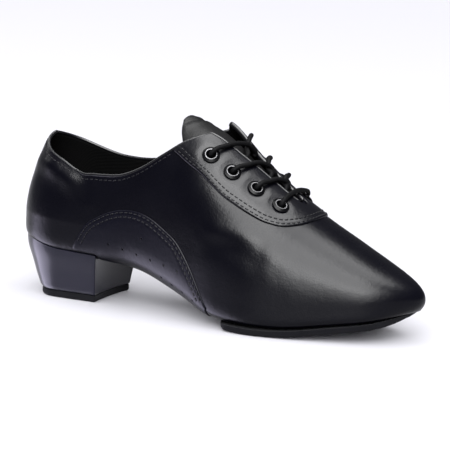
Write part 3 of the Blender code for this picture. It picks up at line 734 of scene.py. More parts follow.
# The leather dips round the flange of each eyelet: its radius, the depth and the width of the dip
FLANGE_RADIUS = 4.6
EYELET_DIP = 0.42
DIP_WIDTH = 2.4
STITCH_LENGTH = 2.5
STITCH_PITCH = 3.1
ROW_START = 0.6
ROW_END = 0.3
STITCH_SINK = 0.16
STITCH_GROOVE = 0.6
THREAD_RADIUS = 0.36
THREAD_RISE = 0.16
THREAD_DIVE = 0.42
SEWN_EDGE = (0.3, 0.7, 1.1, 1.5, 2.0, 2.6, 3.2)
# place, inner_x, outer_x, outer share of the half width
EYESTAY = [
    (0, 120.4, 104.0, 0.705),
    (1, 127.0, 113.0, 0.745),
    (2, 134.0, 122.5, 0.760),
    (3, 141.0, 133.0, 0.760),
    (4, 148.0, 143.0, 0.742),
    (5, 155.0, 153.5, 0.716),
    (6, 161.0, 163.0, 0.682),
    (7, 166.0, 171.8, 0.607),
    (8, 170.0, 178.3, 0.455),
    (9, 171.6, 181.5, 0.276),
    (10, 172.3, 182.6, 0.135),
    (11, 172.5, 182.8, 0.0),
]


def edge_row(stations, side, below):
    """Points under the top edge of the upper, with the surface's normals and the way up to the edge."""
    points = []
    rising = []
    for x, phi in stations:
        line, offset = half_line(x, phi, side)
        s = arc(line)
        top = top_cut(x, phi, side, line, offset, s) - below
        pair = at(line, s, np.array([top - 0.6, top]))
        points.append(pair[1])
        rising.append(pair[1] - pair[0])
    points = np.array(points)
    rising = unit(np.array(rising))
    out = unit(np.cross(np.gradient(points, axis=0), rising) * -side)
    return points, out, rising


def inset_row(edge_line, out, second, distance):
    """A line on the surface at a distance from an edge, on the side of a second line."""
    over = unit(np.cross(out, np.gradient(edge_line, axis=0)))
    over *= np.sign((over * (second - edge_line)).sum(1))[:, None]
    return edge_line + over * distance


def round_angles(count):
    """Even angles once round."""
    return np.linspace(0, 2 * math.pi, count, endpoint=False)


def tube_faces(rings, count):
    """Quads between rings of points, with a face over each end."""
    i, k = np.meshgrid(np.arange(rings - 1), np.arange(count), indexing="ij")
    a = (i * count + k).ravel()
    b = (i * count + (k + 1) % count).ravel()
    faces = [tuple(f) for f in np.stack([a, b, b + count, a + count], -1)]
    faces.append(tuple(range(count - 1, -1, -1)))
    faces.append(tuple((rings - 1) * count + np.arange(count)))
    return faces


def stitches(name, rows, finish):
    """Short arched threads along rows of points and normals, joined in one mesh."""
    sides = 6
    spread = np.linspace(-1, 1, 7)
    radius = THREAD_RADIUS * np.sqrt(np.clip(1.05 - spread**8, 0.05, 1))
    one_stitch = tube_faces(len(spread), sides)
    points = []
    faces = []
    for line, out in rows:
        s = arc(line)
        for start in np.arange(ROW_START, s[-1] - STITCH_LENGTH - ROW_END, STITCH_PITCH):
            where = start + STITCH_LENGTH * (spread + 1) / 2
            spine = at(line, s, where)
            n = unit(at(out, s, where))
            cross = np.cross(unit(np.gradient(spine, axis=0)), n)
            spine = spine + n * (THREAD_RISE - THREAD_DIVE * spread**6)[:, None]
            ring = []
            for t in round_angles(sides):
                ring.append(spine + (cross * math.cos(t) + n * math.sin(t)) * radius[:, None])
            base = len(points) * len(spread) * sides
            points.append(np.stack(ring, 1).reshape(-1, 3))
            faces += [tuple(base + i for i in face) for face in one_stitch]
    return mesh_object(name, np.concatenate(points), faces, finish)


def thread(name):
    """Waxed polyester thread, black with a soft shine and a fine twist."""
    mat, shade, surface = new_finish(name, Specular_IOR_Level=0.09)
    place = shade.node("ShaderNodeTexCoord", output="Object")
    twist = place.noise(1800.0, 1.0)
    feed(twist.mixed((0.0008, 0.0008, 0.0011), (0.0022, 0.0022, 0.0028)), surface, "Base Color")
    feed(twist * 0.2 + 0.38, surface, "Roughness")
    feed_bump(twist, surface, 0.05)
    return mat


def mirrored(line_at):
    """A line for both sides in one: the lateral half to the middle and the medial half back."""
    return np.concatenate([line_at(-1), line_at(1)[-2::-1]])


place = np.linspace(0, len(EYESTAY) - 1, 170)
inner_x, outer_x, outer_share = (spline(EYESTAY, place, column) for column in (1, 2, 3))
bend = np.clip((inner_x - THROAT_X) / THROAT_BEND, 0, 1)
inner_share = (spline(THROAT, inner_x) + STAY_BACK) * np.sqrt(1 - bend**2)
inner_plan = mirrored(lambda side: np.stack([inner_x, across(inner_x, side * inner_share)], -1))
outer_plan = mirrored(lambda side: np.stack([outer_x, across(outer_x, side * outer_share)], -1))
collar_x = np.linspace(STAY_END_X + 0.6, CORNER_X - 0.4, 24)
corner_edges = {side: edge_row([(x, 90) for x in collar_x], side, 0.9)[0][:, :2] for side in (-1, 1)}
stay_loop = np.concatenate([inner_plan, corner_edges[1][::-1], outer_plan[::-1], corner_edges[-1]])
stay_loop = evened(stay_loop, 0.9)
stay_holes = []
for spot, axis in eyelet_spots:
    spoke = unit(np.cross(axis, (1.0, 0.0, 0.0)))
    t = round_angles(20)[:, None]
    ring = spot + STAY_HOLE * (spoke * np.cos(t) + np.cross(axis, spoke) * np.sin(t))
    stay_holes.append(ring[:, :2])
flat, faces = cut_pattern(stay_loop, stay_holes, step=1.1, edge_rows=SEWN_EDGE)
stay_base, stay_out = instep(*flat.T)
inner_line = instep(*inner_plan.T)[0]
outer_line, outer_out = instep(*outer_plan.T)
edge = np.minimum(away(stay_base, outer_line), away(stay_base, inner_line))
stay_up = STAY_TOP - STAY_THIN * rounding(edge, STAY_EDGE)
stay_rows = []
for distance in STAY_ROWS:
    row = resampled(inset_row(outer_line, outer_out, inner_line, distance), 0.8)
    stay_up -= STITCH_SINK * bell(away(stay_base, row), STITCH_GROOVE)
    stay_rows.append(instep(row[:, 0], row[:, 1], STAY_TOP - STITCH_SINK))
for spot, axis in eyelet_spots:
    from_flange = np.linalg.norm(stay_base - spot, axis=1) - FLANGE_RADIUS
    stay_up -= EYELET_DIP * bell(from_flange, DIP_WIDTH)
stay_leather = leather(
    "stay_leather", (0.0002, 0.0002, 0.0006), (0.0005, 0.0005, 0.0012), rough=0.33, shine=0.11)
eyestay = mesh_object("eyestay_leather", stay_base + stay_out * stay_up[:, None], faces, stay_leather)
thicken(eyestay, STAY_LEATHER)
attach(eyestay, "root")
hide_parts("eyestay")
black_thread = thread("black_thread")
stay_stitches = stitches("eyestay_stitches", stay_rows, black_thread)
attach(stay_stitches, "root")

# Arch panels: one piece of leather on each side, which wraps under the arch to a centre seam.
# The curved top edge has two rows of stitching, and rows of small punched holes let the foot breathe.
PANEL_TOP = 0.75
PANEL_LEATHER = 0.55
PANEL_ROWS = (1.5, 4.0)
PANEL_REAR_X = 44.0
PANEL_FRONT_X = 134.3
# The edge is thinned along the top seam and, less, along the other sides: width and depth
SEAM_EDGE = 1.2
SEAM_THIN = 0.6
SIDE_EDGE = 1.0
SIDE_THIN = 0.5
SEAM_CLEAR = 1.5
PINHOLE_RADIUS = 0.65
CENTRE_SEAM = 0.35
BREAST_X = 58.6
HEEL_HALF = 28.8
# In front the panels stop just short of the outsole's round rear line
SOLE_REAR_X = 136.0
REAR_ROUND = 12.0
SOLE_CLEAR = 0.9
# Top seam of the panel: x, z
ARCH = [
    (43.5, 31.5),
    (51, 45.0),
    (60, 52.0),
    (71, 56.7),
    (81, 58.0),
    (92, 56.2),
    (104, 50.3),
    (113.7, 43.8),
    (121, 34.7),
    (128, 23.5),
    (134.5, 11.5),
]
# Rows of pinholes: first x, first z, pitch along x, drop for each hole, count
PINHOLES = [
    (67.7, 37.2, 9.4, -1.65, 6),
    (89.3, 43.4, 9.4, -1.65, 1),
    (102.4, 23.2, 7.6, -3.0, 4),
]
PANEL_X = np.arange(40.0, 141.0, 1.0)
PANEL_STEP = 0.5
PANEL_S = np.arange(0.0, 84.0, PANEL_STEP)


def unrolled(side):
    """Places on one side of the shoe by x and the length round from the centre seam below."""
    lines = [half_line(x, 90, side)[0] for x in PANEL_X]
    grid = np.array([at(line, arc(line), PANEL_S) for line in lines])
    out = grid_normals(grid, side)

    def lookup(x, s, table):
        i = np.clip((np.asarray(x) - PANEL_X[0]).astype(int), 0, len(PANEL_X) - 2)
        j = np.clip((np.asarray(s) / PANEL_STEP).astype(int), 0, len(PANEL_S) - 2)
        a = np.clip(x - PANEL_X[i], 0, 1)[:, None]
        b = np.clip((s - PANEL_S[j]) / PANEL_STEP, 0, 1)[:, None]
        near = table[i, j] * (1 - b) + table[i, j + 1] * b
        return near * (1 - a) + (table[i + 1, j] * (1 - b) + table[i + 1, j + 1] * b) * a

    def place_at(x, s, up=0.0):
        n = unit(lookup(x, s, out))
        return lookup(x, s, grid) + n * np.broadcast_to(up, np.shape(x))[:, None], n

    return place_at


def length_round(x, side, z=None, offset=None):
    """Length round from the centre seam to a height, or to a distance from the middle underneath."""
    line, reach = half_line(x, 90, side)
    s = arc(line)
    if z is not None:
        return np.interp(z, line[1:, 2], s[1:])
    return np.interp(offset, reach[:STEPS], s[:STEPS])


# The panel is bluer than the upper leather: the extra blue is painted reflection of the lavender floor on
# this low part of the side.
panel_leather_painted_reflection = leather("panel_leather_painted_reflection", (0.0002, 0.0002, 0.0009), (0.0006, 0.0006, 0.0020), rough=0.35)
for side, word in ((-1, "lateral"), (1, "medial")):
    place_at = unrolled(side)
    seam_x = np.linspace(PANEL_REAR_X, PANEL_FRONT_X, 180)
    seam = np.array([(x, length_round(x, side, z=spline(ARCH, x))) for x in seam_x])
    front = []
    for k in np.linspace(0.96, 0.0, 30):
        sole_line = SOLE_REAR_X + REAR_ROUND * (1 - math.sqrt(1 - k**2))
        x = min(PANEL_FRONT_X, sole_line - SOLE_CLEAR)
        reach = float(half_line(x, 90, side)[1].max())
        s = max(length_round(x, side, offset=k * reach * 0.99), CENTRE_SEAM)
        if s < seam[-1, 1] - 1:
            front.append((x, s))
    rear_x = np.linspace(BREAST_X, PANEL_REAR_X, 16)[:-1]
    rear = [(x, length_round(x, side, offset=HEEL_HALF)) for x in rear_x]
    panel_loop = evened(np.concatenate([seam, front, [(BREAST_X, CENTRE_SEAM)], rear]), 0.9)
    t = round_angles(12)
    holes = []
    for x0, z0, pitch, drop, count in PINHOLES:
        for k in range(count):
            x = x0 + pitch * k
            s = length_round(x, side, z=z0 + drop * k)
            holes.append(np.stack([x + PINHOLE_RADIUS * np.cos(t), s + PINHOLE_RADIUS * np.sin(t)], -1))
    flat, faces = cut_pattern(panel_loop, holes, step=1.2, edge_rows=SEWN_EDGE + (4.2,))
    base, out = place_at(*flat.T)
    seam_line, seam_out = place_at(*seam.T)
    below_line = place_at(seam[:, 0], seam[:, 1] - 6)[0]
    edge = away(base, seam_line)
    panel_up = PANEL_TOP - SEAM_THIN * rounding(edge, SEAM_EDGE)
    panel_up -= SIDE_THIN * rounding(away(flat, ringed(panel_loop)), SIDE_EDGE) * (edge > SEAM_CLEAR)
    panel_rows = []
    for distance in PANEL_ROWS:
        row = resampled(inset_row(seam_line, seam_out, below_line, distance)[4:-3], 0.8)
        panel_up -= STITCH_SINK * bell(away(base, row), STITCH_GROOVE)
        s = np.array([length_round(x, side, z=z) for x, _, z in row])
        panel_rows.append(place_at(row[:, 0], s, PANEL_TOP - STITCH_SINK))
    if side > 0:
        faces = faces[:, ::-1]
    panel = mesh_object(f"arch_leather_{word}", base + out * panel_up[:, None], faces, panel_leather_painted_reflection)
    thicken(panel, PANEL_LEATHER)
    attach(panel, "root")
    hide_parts(f"arch_panel_{word}")
    panel_stitches = stitches(f"arch_stitches_{word}", panel_rows, black_thread)
    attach(panel_stitches, "root")

# Collar fold: the leather is turned over the rim of the collar and the facings, so the edge is round and
# catches the light. One row of stitching below the rim holds the lining.
FOLD_STEP = 1.0
FOLD_HALF = 1.0
FOLD_DROP = 0.5
FOLD_MIDDLE = -0.72
COLLAR_ROW = 3.2
COLLAR_ROW_END = 103.0
COLLAR_SINK = 0.3
# Along the facings the fold takes in the eyestay too: thickness more, lead and length of the change
STAY_MORE = 0.42
CHANGE_LEAD = 3.0
CHANGE_LONG = 8.0
round_heel = [(HEEL_X, a) for a in np.arange(0, 90, 2.0)]
along_foot = [(x, 90) for x in np.arange(HEEL_X, CORNER_X, 1.2)]
along_throat = [(x, 90) for x in np.arange(CORNER_X + 0.1, THROAT_X, 1.2)]


def fold_frame(stations, side):
    """Rim points with their normals and the way out of the rim."""
    return np.stack(edge_row(stations, side, 0.0), 1)


rim = np.concatenate([
    fold_frame(along_throat, -1)[::-1],
    fold_frame(along_foot, -1)[::-1],
    fold_frame(round_heel, -1)[::-1][:-1],
    fold_frame(round_heel, 1),
    fold_frame(along_foot, 1),
    fold_frame(along_throat, 1),
])
s = arc(rim[:, 0])
where = np.linspace(0, s[-1], int(s[-1] / FOLD_STEP))
spine, out, rising = (at(rim[:, k], s, where) for k in range(3))
stay_more = STAY_MORE * np.clip((spine[:, 0] - STAY_END_X + CHANGE_LEAD) / CHANGE_LONG, 0, 1)[:, None]
t = round_angles(16)
ring_out = FOLD_MIDDLE + stay_more + (FOLD_HALF + stay_more) * np.cos(t)
ring_up = FOLD_HALF * np.sin(t) - FOLD_DROP
fold_points = spine[:, None] + out[:, None] * ring_out[..., None] + rising[:, None] * ring_up[None, :, None]
fold_leather = leather(
    "fold_leather", (0.0003, 0.0003, 0.0006), (0.0008, 0.0008, 0.0013),
    rough=0.32, grain=0.10, coat=0.03, shine=0.17)
fold_faces = tube_faces(len(spine), len(t))
collar_fold = mesh_object("collar_fold", fold_points.reshape(-1, 3), fold_faces, fold_leather)
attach(collar_fold, "root")
row_stations = [(HEEL_X, a) for a in np.arange(3, 90, 2.0)]
row_stations += [(x, 90) for x in np.arange(HEEL_X, COLLAR_ROW_END, 1.2)]
rows = []
for side in (-1, 1):
    line, out, _ = edge_row(row_stations, side, COLLAR_ROW)
    rows.append((line + out * (creased(line, side) - COLLAR_SINK)[:, None], out))
collar_stitches = stitches("collar_stitches", rows, black_thread)
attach(collar_stitches, "root")

# Outsole: black suede under the forefoot only, glued to the turned margin of the upper.
# Its edge is dyed and smooth, and its rear end is a round line across the waist.
SOLE_THICK = 3.5
SOLE_INSET = 0.9
SOLE_GAP = 0.3
SOLE_ROUND = 1.3
LEAST_EDGE = 0.4
# The sole thins to the rear and lies flatter across: share of the width, more at the rear, thinning, length
FLAT_SHARE = 0.8
REAR_SHARE = 0.12
REAR_SKIVE = 1.2
SKIVE_LONG = 26.0
rear_turn = np.radians(np.linspace(4, 88, 22))
tip_turn = np.radians(np.linspace(2, 89, 36))
sole_x = np.concatenate([
    SOLE_REAR_X + REAR_ROUND * (1 - np.cos(rear_turn)),
    np.arange(SOLE_REAR_X + REAR_ROUND + 1, TOE_X, 2.2),
    TOE_X + (LENGTH - SOLE_INSET - TOE_X) * np.sin(tip_turn),
])
stretch = (LENGTH - TOE_X) / (LENGTH - SOLE_INSET - TOE_X)
left, right = half_widths(np.where(sole_x > TOE_X, TOE_X + (sole_x - TOE_X) * stretch, sole_x), SOLE_INSET)
round_end = np.sqrt(1 - np.clip((SOLE_REAR_X + REAR_ROUND - sole_x) / REAR_ROUND, 0, 1) ** 2)
middle = (left + right) / 2
left = middle + (left - middle) * round_end
right = middle + (right - middle) * round_end


def sole_ring(x, a, b):
    """Section of the outsole between its two sides, with round lower edges."""
    reach = min(SOLE_ROUND, (b - a) * 0.2)
    turn = np.linspace(0, math.pi / 2, 5)
    centre = spline(LAST, x, AXIS)
    rear = np.clip((SOLE_REAR_X + SKIVE_LONG - x) / SKIVE_LONG, 0, 1)
    thick = SOLE_THICK - REAR_SKIVE * rear**2
    share = FLAT_SHARE + REAR_SHARE * rear

    def roof(y):
        return underside(np.full_like(y, x), centre + (y - centre) * share) - SOLE_GAP

    top_y = np.linspace(a, b, 30)
    flat_y = np.linspace(b - reach, a + reach, 26)[1:-1]
    low_y = np.concatenate([b - reach + reach * np.cos(turn), flat_y, a + reach - reach * np.sin(turn)])
    drop = np.concatenate([reach * (1 - np.sin(turn)), 0 * flat_y, reach * (1 - np.cos(turn))])
    low = np.maximum(roof(low_y) - thick, 0) + drop
    top = roof(top_y)
    low = np.minimum(low, np.interp(low_y, top_y, top) - LEAST_EDGE)
    ys = np.concatenate([top_y, low_y])
    return tucked(np.stack([np.full_like(ys, x), ys, np.concatenate([top, low])], -1))


SHARP_ANGLE = 42


def stacked(name, rings, finish):
    """A closed solid through rings of equal length with flat ends."""
    faces = tube_faces(len(rings), len(rings[0]))
    obj = mesh_object(name, np.concatenate(rings), faces, finish)
    bm = bmesh.new()
    bm.from_mesh(obj.data)
    if bm.calc_volume(signed=True) < 0:
        bmesh.ops.reverse_faces(bm, faces=bm.faces[:])
    bm.to_mesh(obj.data)
    bm.free()
    obj.data.set_sharp_from_angle(angle=math.radians(SHARP_ANGLE))
    return obj


def suede(name, dark, light):
    """Napped leather: no gloss, a soft cloudy nap and a fine fibre."""
    sheen = {"Sheen_Weight": 0.02, "Sheen_Roughness": 0.6, "Sheen_Tint": (0.5, 0.5, 0.55, 1)}
    mat, shade, surface = new_finish(name, Specular_IOR_Level=0.04, **sheen)
    place = shade.node("ShaderNodeTexCoord", output="Object")
    nap = place.noise(110.0, 5.0)
    fibre = place.noise(3200.0, 2.0)
    feed((nap * 0.7 + fibre * 0.4 - 0.05).mixed(dark, light), surface, "Base Color")
    feed(0.95 - nap * 0.1, surface, "Roughness")
    feed_bump(fibre * 0.7 + nap * 0.3, surface, 0.12)
    return mat


sole_suede = suede("sole_suede", (0.0006, 0.0006, 0.0009), (0.0018, 0.0018, 0.0025))
outsole = stacked("outsole_suede", [sole_ring(*ends) for ends in zip(sole_x, left, right)], sole_suede)
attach(outsole, "root")
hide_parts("outsole")

# Heel: a moulded block under a glossy black cover, screwed to the seat from inside.
# The breast is hollow from side to side with crisp upright edges.
HEEL_CENTRE_X = 30.0
SEAT_GAP = 0.45
TAP_THICK = 4.0
CORNER_ROUND = 0.7
SIDE_TAPER = 1.0
BACK_SQUARE = 0.9
BEVEL = 0.35
TAP_GAP = 0.2
# level from the seat to the tap, back_x, breast_x, half_lateral, half_medial, hollow of the breast
HEEL_LEVELS = [
    (0.00, 2.6, 57.6, 28.4, 28.0, 3.2),
    (0.12, 2.9, 57.5, 28.2, 27.7, 3.1),
    (0.50, 6.9, 56.7, 26.4, 25.2, 2.4),
    (0.86, 11.2, 56.1, 24.7, 22.6, 1.6),
    (0.95, 12.6, 56.0, 24.2, 22.0, 1.4),
    (1.00, 14.0, 55.8, 23.4, 21.2, 1.3),
]


def heel_outline(back, breast, half_lateral, half_medial, hollow, inset=0.0):
    """Round at the back, straight at the sides and hollow across the breast."""
    front = breast - inset
    wide = {1: half_medial - inset, -1: inset - half_lateral}
    corner = {side: wide[side] - side * SIDE_TAPER for side in wide}

    def straight(side):
        """From the round back to the front corner."""
        walk = np.linspace(0.08, 0.96, 12)
        x = HEEL_CENTRE_X + (front - HEEL_CENTRE_X) * walk
        return np.stack([x, wide[side] + (corner[side] - wide[side]) * walk], -1)

    def rounded(side):
        """Round the front corner."""
        turn = np.linspace(0, math.pi / 2, 5)
        x = front - CORNER_ROUND * (1 - np.sin(turn))
        return np.stack([x, corner[side] - side * CORNER_ROUND * (1 - np.cos(turn))], -1)

    t = np.radians(np.linspace(-90, 90, 61))
    back_x = HEEL_CENTRE_X - (HEEL_CENTRE_X - back - inset) * np.abs(np.cos(t)) ** BACK_SQUARE
    back_y = np.where(t < 0, wide[-1], wide[1]) * np.abs(np.sin(t)) ** BACK_SQUARE
    v = np.linspace(0.94, -0.94, 33)
    breast_y = (corner[1] + corner[-1] + v * (corner[1] - corner[-1])) / 2
    return np.concatenate([
        np.stack([back_x, back_y], -1),
        straight(1),
        rounded(1),
        np.stack([front - hollow * (1 - v * v), breast_y], -1),
        rounded(-1)[::-1],
        straight(-1)[::-1],
    ])


def on_seat(flat):
    """An outline laid under the heel seat."""
    return np.column_stack([flat, underside(flat[:, 0], flat[:, 1]) - SEAT_GAP])


levels = np.concatenate([[0, 0.012, 0.03], np.linspace(0.06, 0.94, 20), [0.965, 0.985, 1]])
columns = [spline(HEEL_LEVELS, levels, c) for c in range(1, 6)]
top_outline = HEEL_LEVELS[0][1:]
seat_rim = on_seat(heel_outline(*top_outline))
heel_rings = [on_seat(heel_outline(*top_outline, inset=i)) for i in (10.0, 5.5, 3.0, 1.6, 0.7)]
for level, shape in zip(levels, zip(*columns)):
    flat = heel_outline(*shape, inset=BEVEL if level in (0, 1) else 0.0)
    z = seat_rim[:, 2] * (1 - level) + (TAP_THICK + TAP_GAP) * level
    heel_rings.append(np.column_stack([flat, z]))


def gloss_cover(name, dark, light):
    """Lacquered cover with a deep shine, slight waves and a few faint rubs."""
    mat, shade, surface = new_finish(name, Specular_IOR_Level=0.16, Coat_Weight=0.08, Coat_Roughness=0.12)
    place = shade.node("ShaderNodeTexCoord", output="Object")
    waves = place.noise(60.0, 1.0)
    rubs = place.noise(240.0, 6.0)
    feed(waves.mixed(dark, light), surface, "Base Color")
    feed(rubs * 0.1 + 0.26, surface, "Roughness")
    feed_bump(waves, surface, 0.05)
    return mat


# The blue cast in the black of the heel's colours is painted reflection of the lavender floor.
heel_gloss = gloss_cover("heel_gloss", (0.0016, 0.0016, 0.0038), (0.0027, 0.0027, 0.0060))
heel = stacked("heel_block", heel_rings, heel_gloss)
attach(heel, "root")
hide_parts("heel")

# Heel tap: a separate top piece of black suede-faced rubber, nailed under the block.
# It is a little smaller than the block all round, and its lower edge is rubbed round.
# Edge of the tap: z, inset
TAP_EDGE = [
    (TAP_THICK, 0.9),
    (TAP_THICK, 0.35),
    (3.6, 0.05),
    (3.0, 0.0),
    (1.4, 0.0),
    (0.7, 0.15),
    (0.25, 0.5),
    (0.0, 1.1),
]
tap_rings = []
for z, inset in TAP_EDGE:
    flat = heel_outline(*HEEL_LEVELS[-1][1:], inset=inset)
    tap_rings.append(np.column_stack([flat, np.full(len(flat), z)]))
tap_suede = suede("tap_suede", (0.0008, 0.0008, 0.0011), (0.0022, 0.0022, 0.0029))
heel_tap = stacked("heel_tap_suede", tap_rings, tap_suede)
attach(heel_tap, "root")
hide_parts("heel_tap")

# Eyelets: black enamelled metal rings, pressed through the eyestay and rolled over on both faces.
# A thin line of bright metal on the crest of the inner lip is painted highlight.
EYELET_SIDES = 48
LIP_PLACE = 0.33
LIP_SHARP = 420
# radius, height over the upper
EYELET_PROFILE = [
    (2.15, -2.0),
    (2.15, 0.0),
    (2.3, 1.2),
    (2.6, 1.85),
    (2.95, 2.15),
    (3.3, 2.2),
    (3.7, 2.05),
    (4.1, 1.8),
    (4.6, 1.55),
    (4.95, 1.4),
    (5.0, 1.15),
    (4.8, 1.0),
    (2.7, 1.0),
    (2.6, -2.0),
]


def enamel(name):
    """Black enamel, with a thin line of bright metal painted on the crest of the lip as a highlight."""
    mat, shade, surface = new_finish(name, Specular_IOR_Level=0.05)
    place = shade.node("ShaderNodeUVMap", {"uv_map": "turned"})
    parts = shade.node("ShaderNodeSeparateXYZ", None, {0: place}, "Y")
    mottle = place.noise(9.0, 4.0)
    # The bright metal band on the crest of the lip is painted highlight, broken up by the mottle.
    lip = 1 - (parts - LIP_PLACE) * (parts - LIP_PLACE) * LIP_SHARP
    painted_lip_highlight = shade.node("ShaderNodeClamp", None, {"Value": lip * (mottle * 0.8 + 0.4)})
    feed(painted_lip_highlight.mixed((0.0006, 0.0006, 0.0008), (0.08, 0.08, 0.083)), surface, "Base Color")
    feed(painted_lip_highlight * 0.9, surface, "Metallic")
    feed(mottle * 0.15 + 0.24, surface, "Roughness")
    feed_bump(mottle, surface, 0.02)
    return mat


eyelet_enamel = enamel("eyelet_enamel")
profile = np.array(EYELET_PROFILE)
count = len(profile)
for number, (spot, axis) in enumerate(eyelet_spots):
    name = f"{'lateral' if number % 2 == 0 else 'medial'}_{number // 2 + 1}"
    spoke = unit(np.cross(axis, (1.0, 0.0, 0.0)))
    t = round_angles(EYELET_SIDES)[:, None, None]
    spokes = spoke * np.cos(t) + np.cross(axis, spoke) * np.sin(t)
    points = spot + spokes * profile[None, :, :1] + axis * profile[None, :, 1:]
    k, j = np.meshgrid(np.arange(EYELET_SIDES), np.arange(count), indexing="ij")
    ahead = (k + 1) % EYELET_SIDES
    over = (j + 1) % count
    faces = np.stack([k * count + j, ahead * count + j, ahead * count + over, k * count + over], -1)
    ring = mesh_object(f"ring_{name}", points.reshape(-1, 3), faces.reshape(-1, 4), eyelet_enamel)
    layer = ring.data.uv_layers.new(name="turned")
    spots = np.stack([k, k + 1, k + 1, k], -1).reshape(-1) / EYELET_SIDES
    rows = np.stack([j, j, j + 1, j + 1], -1).reshape(-1) / count
    layer.data.foreach_set("uv", np.stack([spots, rows], -1).astype(np.float32).ravel())
    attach(ring, "root")
    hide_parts(f"eyelet_{name}")

# Lace: one round braided cord of black polyester, in a straight bar and three crossings through the eyelets.
# Each strand comes up out of its eyelet and tucks under the opposite facing one row nearer the toe.
LACE_RADIUS = 1.4
CARRIERS = 8
BRAID_PITCH = 6.4
LACE_SIDES = 24
LACE_STEP = 0.4
BRAID_RELIEF = 0.10
LAST_TUCK_X = 161.0


def strand(number, side, middle_height):
    """Route from an eyelet over the middle to the opposite edge: x, share of the half width, height."""
    x, share = EYELETS[number - 1]
    end_x = min(EYELETS[number - 2][0] + 1.0, LAST_TUCK_X)
    run = end_x - x
    half = section(end_x, -side)[1]
    end_share = spline(THROAT, end_x) - (LACE_RADIUS + 0.5) / half
    edge_x = x + run * 0.48
    return [
        (x, side * share, -2.4),
        (x, side * share, 0.2),
        (x, side * share, 2.4),
        (x + run * 0.1, side * (share - 0.06), 3.9),
        (x + run * 0.3, side * (share - 0.18), 3.3),
        (edge_x, side * spline(THROAT, edge_x), 2.9),
        (x + run * 0.74, 0, middle_height),
        (end_x - 1.0, -side * (end_share - 0.04), 1.0),
        (end_x, -side * end_share, -0.2),
        (end_x + 0.4, -side * end_share, -1.7),
    ]


first_x, first_share = EYELETS[0]
half_bar = [
    (-first_share, -2.4),
    (-first_share, 0.2),
    (-first_share, 2.4),
    (-first_share + 0.06, 3.9),
    (-first_share + 0.2, 3.2),
]
bar_route = [(first_x, o, h) for o, h in half_bar] + [(first_x, 0, 2.9)]
bar_route += [(first_x, -o, h) for o, h in half_bar[::-1]]


def braided(name, route, finish):
    """A tube along a smooth line over the instep with the strands of its braid standing out."""
    knots = np.linspace(0, 1, len(route))
    columns = [[(t, row[k]) for t, row in zip(knots, route)] for k in range(3)]
    x, share, height = (spline(column, np.linspace(0, 1, 300)) for column in columns)
    spine = resampled(instep(x, across(x, share), height)[0], LACE_STEP)
    ahead = unit(np.gradient(spine, axis=0))
    s = arc(spine)
    t = round_angles(LACE_SIDES)
    side = np.cross(ahead[0], (1.0, 0.3, 0.0))
    points = []
    for p, d, run in zip(spine, ahead, s):
        side = unit(side - d * np.dot(side, d))
        up = np.cross(d, side)
        turn = 2 * math.pi * run / BRAID_PITCH
        right_hand = np.cos(CARRIERS / 2 * (t - turn))
        left_hand = np.cos(CARRIERS / 2 * (t + turn))
        radius = LACE_RADIUS - BRAID_RELIEF + BRAID_RELIEF * np.maximum(right_hand, left_hand)
        points.append(p + radius[:, None] * (np.cos(t)[:, None] * side + np.sin(t)[:, None] * up))
    return stacked(name, points, finish)


def cord(name):
    """Braided polyester, black with a dry fibre and a faint sheen."""
    mat, shade, surface = new_finish(name, Specular_IOR_Level=0.035)
    place = shade.node("ShaderNodeTexCoord", output="Object")
    fibre = place.noise(3000.0, 2.0)
    feed(fibre.mixed((0.0003, 0.0003, 0.0004), (0.0009, 0.0009, 0.0011)), surface, "Base Color")
    feed(fibre * 0.2 + 0.55, surface, "Roughness")
    feed_bump(fibre, surface, 0.08)
    return mat


lace_cord = cord("lace_cord")
bar = braided("lace_bar", bar_route, lace_cord)
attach(bar, "root")
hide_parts("lace_bar_1")
for number in (2, 3, 4):
    for side, word, height in ((-1, "over", 2.6), (1, "under", 0.5)):
        lace = braided(f"lace_{word}_{number}", strand(number, side, height), lace_cord)
        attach(lace, "root")
        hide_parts(f"lace_cross_{number}")

# Floor, light and camera: a white studio floor under wide, soft lamps that stand for windows and screens.
# The lamps of the shoe leave the floor alone, and the floor has two of its own, so it stays white.
# The camera keeps the photo's angle to the shoe, rolled a little.
FLOOR_SIZE = 6.0
FLOOR_Z = -0.00005
WORLD_COLOUR = (0.95, 0.95, 1, 1)
WORLD_STRENGTH = 0.12
# Lamps: name, azimuth, elevation, spread, power, whether the floor is left out or lit alone, tint
LAMPS = [
    ("window", 26, 50, 50, 16.5, "EXCLUDE", (1, 1, 1)),
    ("low_window", 28, 22, 40, 5.2, "EXCLUDE", (1, 1, 1)),
    ("top", 125, 81, 46, 9.5, "EXCLUDE", (1, 1, 1)),
    ("bounce", -74, -33, 50, 5.0, "EXCLUDE", (0.80, 0.76, 1)),
    ("back_fill", 248, 38, 50, 2.0, "EXCLUDE", (1, 1, 1)),
    ("floor_light", 20, 75, 122, 4.4, "INCLUDE", (1, 1, 1)),
    ("floor_front", 15, 24, 50, 2.8, "INCLUDE", (1, 1, 1)),
]
AZIMUTH = 24.5
ELEVATION = 10.3
ROLL = math.radians(3.0)
DISTANCE = 1.1
LENS = 155.6
SENSOR = 36
AIM = Vector((0.003, 0.00069, 0.045))
AIM_RISE = 0.0058
floor_mesh = bpy.data.meshes.new("floor")
corners = [(-1, -1), (1, -1), (1, 1), (-1, 1)]
floor_mesh.from_pydata([(x * FLOOR_SIZE, y * FLOOR_SIZE, FLOOR_Z) for x, y in corners], [], [(0, 1, 2, 3)])
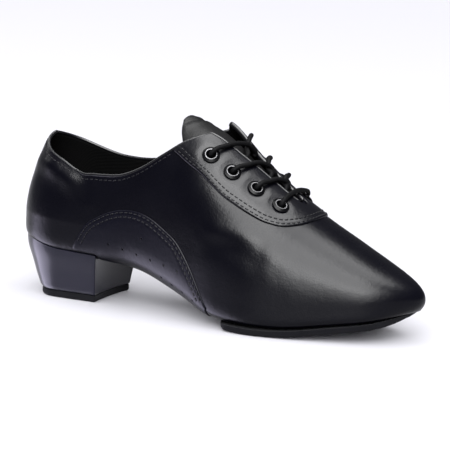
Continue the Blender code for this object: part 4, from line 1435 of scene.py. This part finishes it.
floor = bpy.data.objects.new("floor", floor_mesh)
bpy.context.scene.collection.objects.link(floor)
floor_look = {"Base_Color": (0.85, 0.845, 0.90, 1), "Roughness": 0.24, "Specular_IOR_Level": 0.3}
floor_mesh.materials.append(new_finish("floor_finish", **floor_look)[0])

world = bpy.data.worlds.new("studio")
world.use_nodes = True
world.node_tree.nodes["Background"].inputs["Color"].default_value = WORLD_COLOUR
world.node_tree.nodes["Background"].inputs["Strength"].default_value = WORLD_STRENGTH
bpy.context.scene.world = world
bpy.context.scene.view_settings.view_transform = "Standard"


def towards(azimuth, elevation):
    """Direction from the shoe, by degrees round from the outer side towards the toe, and up."""
    a = math.radians(azimuth)
    e = math.radians(elevation)
    return Vector((math.sin(a) * math.cos(e), -math.cos(a) * math.cos(e), math.sin(e)))


for name, azimuth, elevation, spread, power, floor_state, tint in LAMPS:
    light = bpy.data.lights.new(name, "SUN")
    light.energy = power
    light.color = tint
    light.angle = math.radians(spread)
    lamp = bpy.data.objects.new(name, light)
    lamp.rotation_euler = towards(azimuth, elevation).to_track_quat("Z", "Y").to_euler()
    bpy.context.scene.collection.objects.link(lamp)
    lit = bpy.data.collections.new(f"lit_by_{name}")
    lit.objects.link(floor)
    lit.collection_objects[0].light_linking.link_state = floor_state
    lamp.light_linking.receiver_collection = lit
    if floor_state == "EXCLUDE":
        lamp.light_linking.blocker_collection = lit

back = towards(AZIMUTH, ELEVATION)
level = Vector((math.cos(math.radians(AZIMUTH)), math.sin(math.radians(AZIMUTH)), 0))
up = back.cross(level)
right = level * math.cos(ROLL) + up * math.sin(ROLL)
top = up * math.cos(ROLL) - level * math.sin(ROLL)
camera_data = bpy.data.cameras.new("camera")
camera_data.lens = LENS
camera_data.sensor_width = SENSOR
camera = bpy.data.objects.new("camera", camera_data)
turned = Matrix((right, top, back)).transposed().to_4x4()
camera.matrix_world = Matrix.Translation(AIM + top * AIM_RISE + back * DISTANCE) @ turned
bpy.context.scene.collection.objects.link(camera)
bpy.context.scene.camera = camera
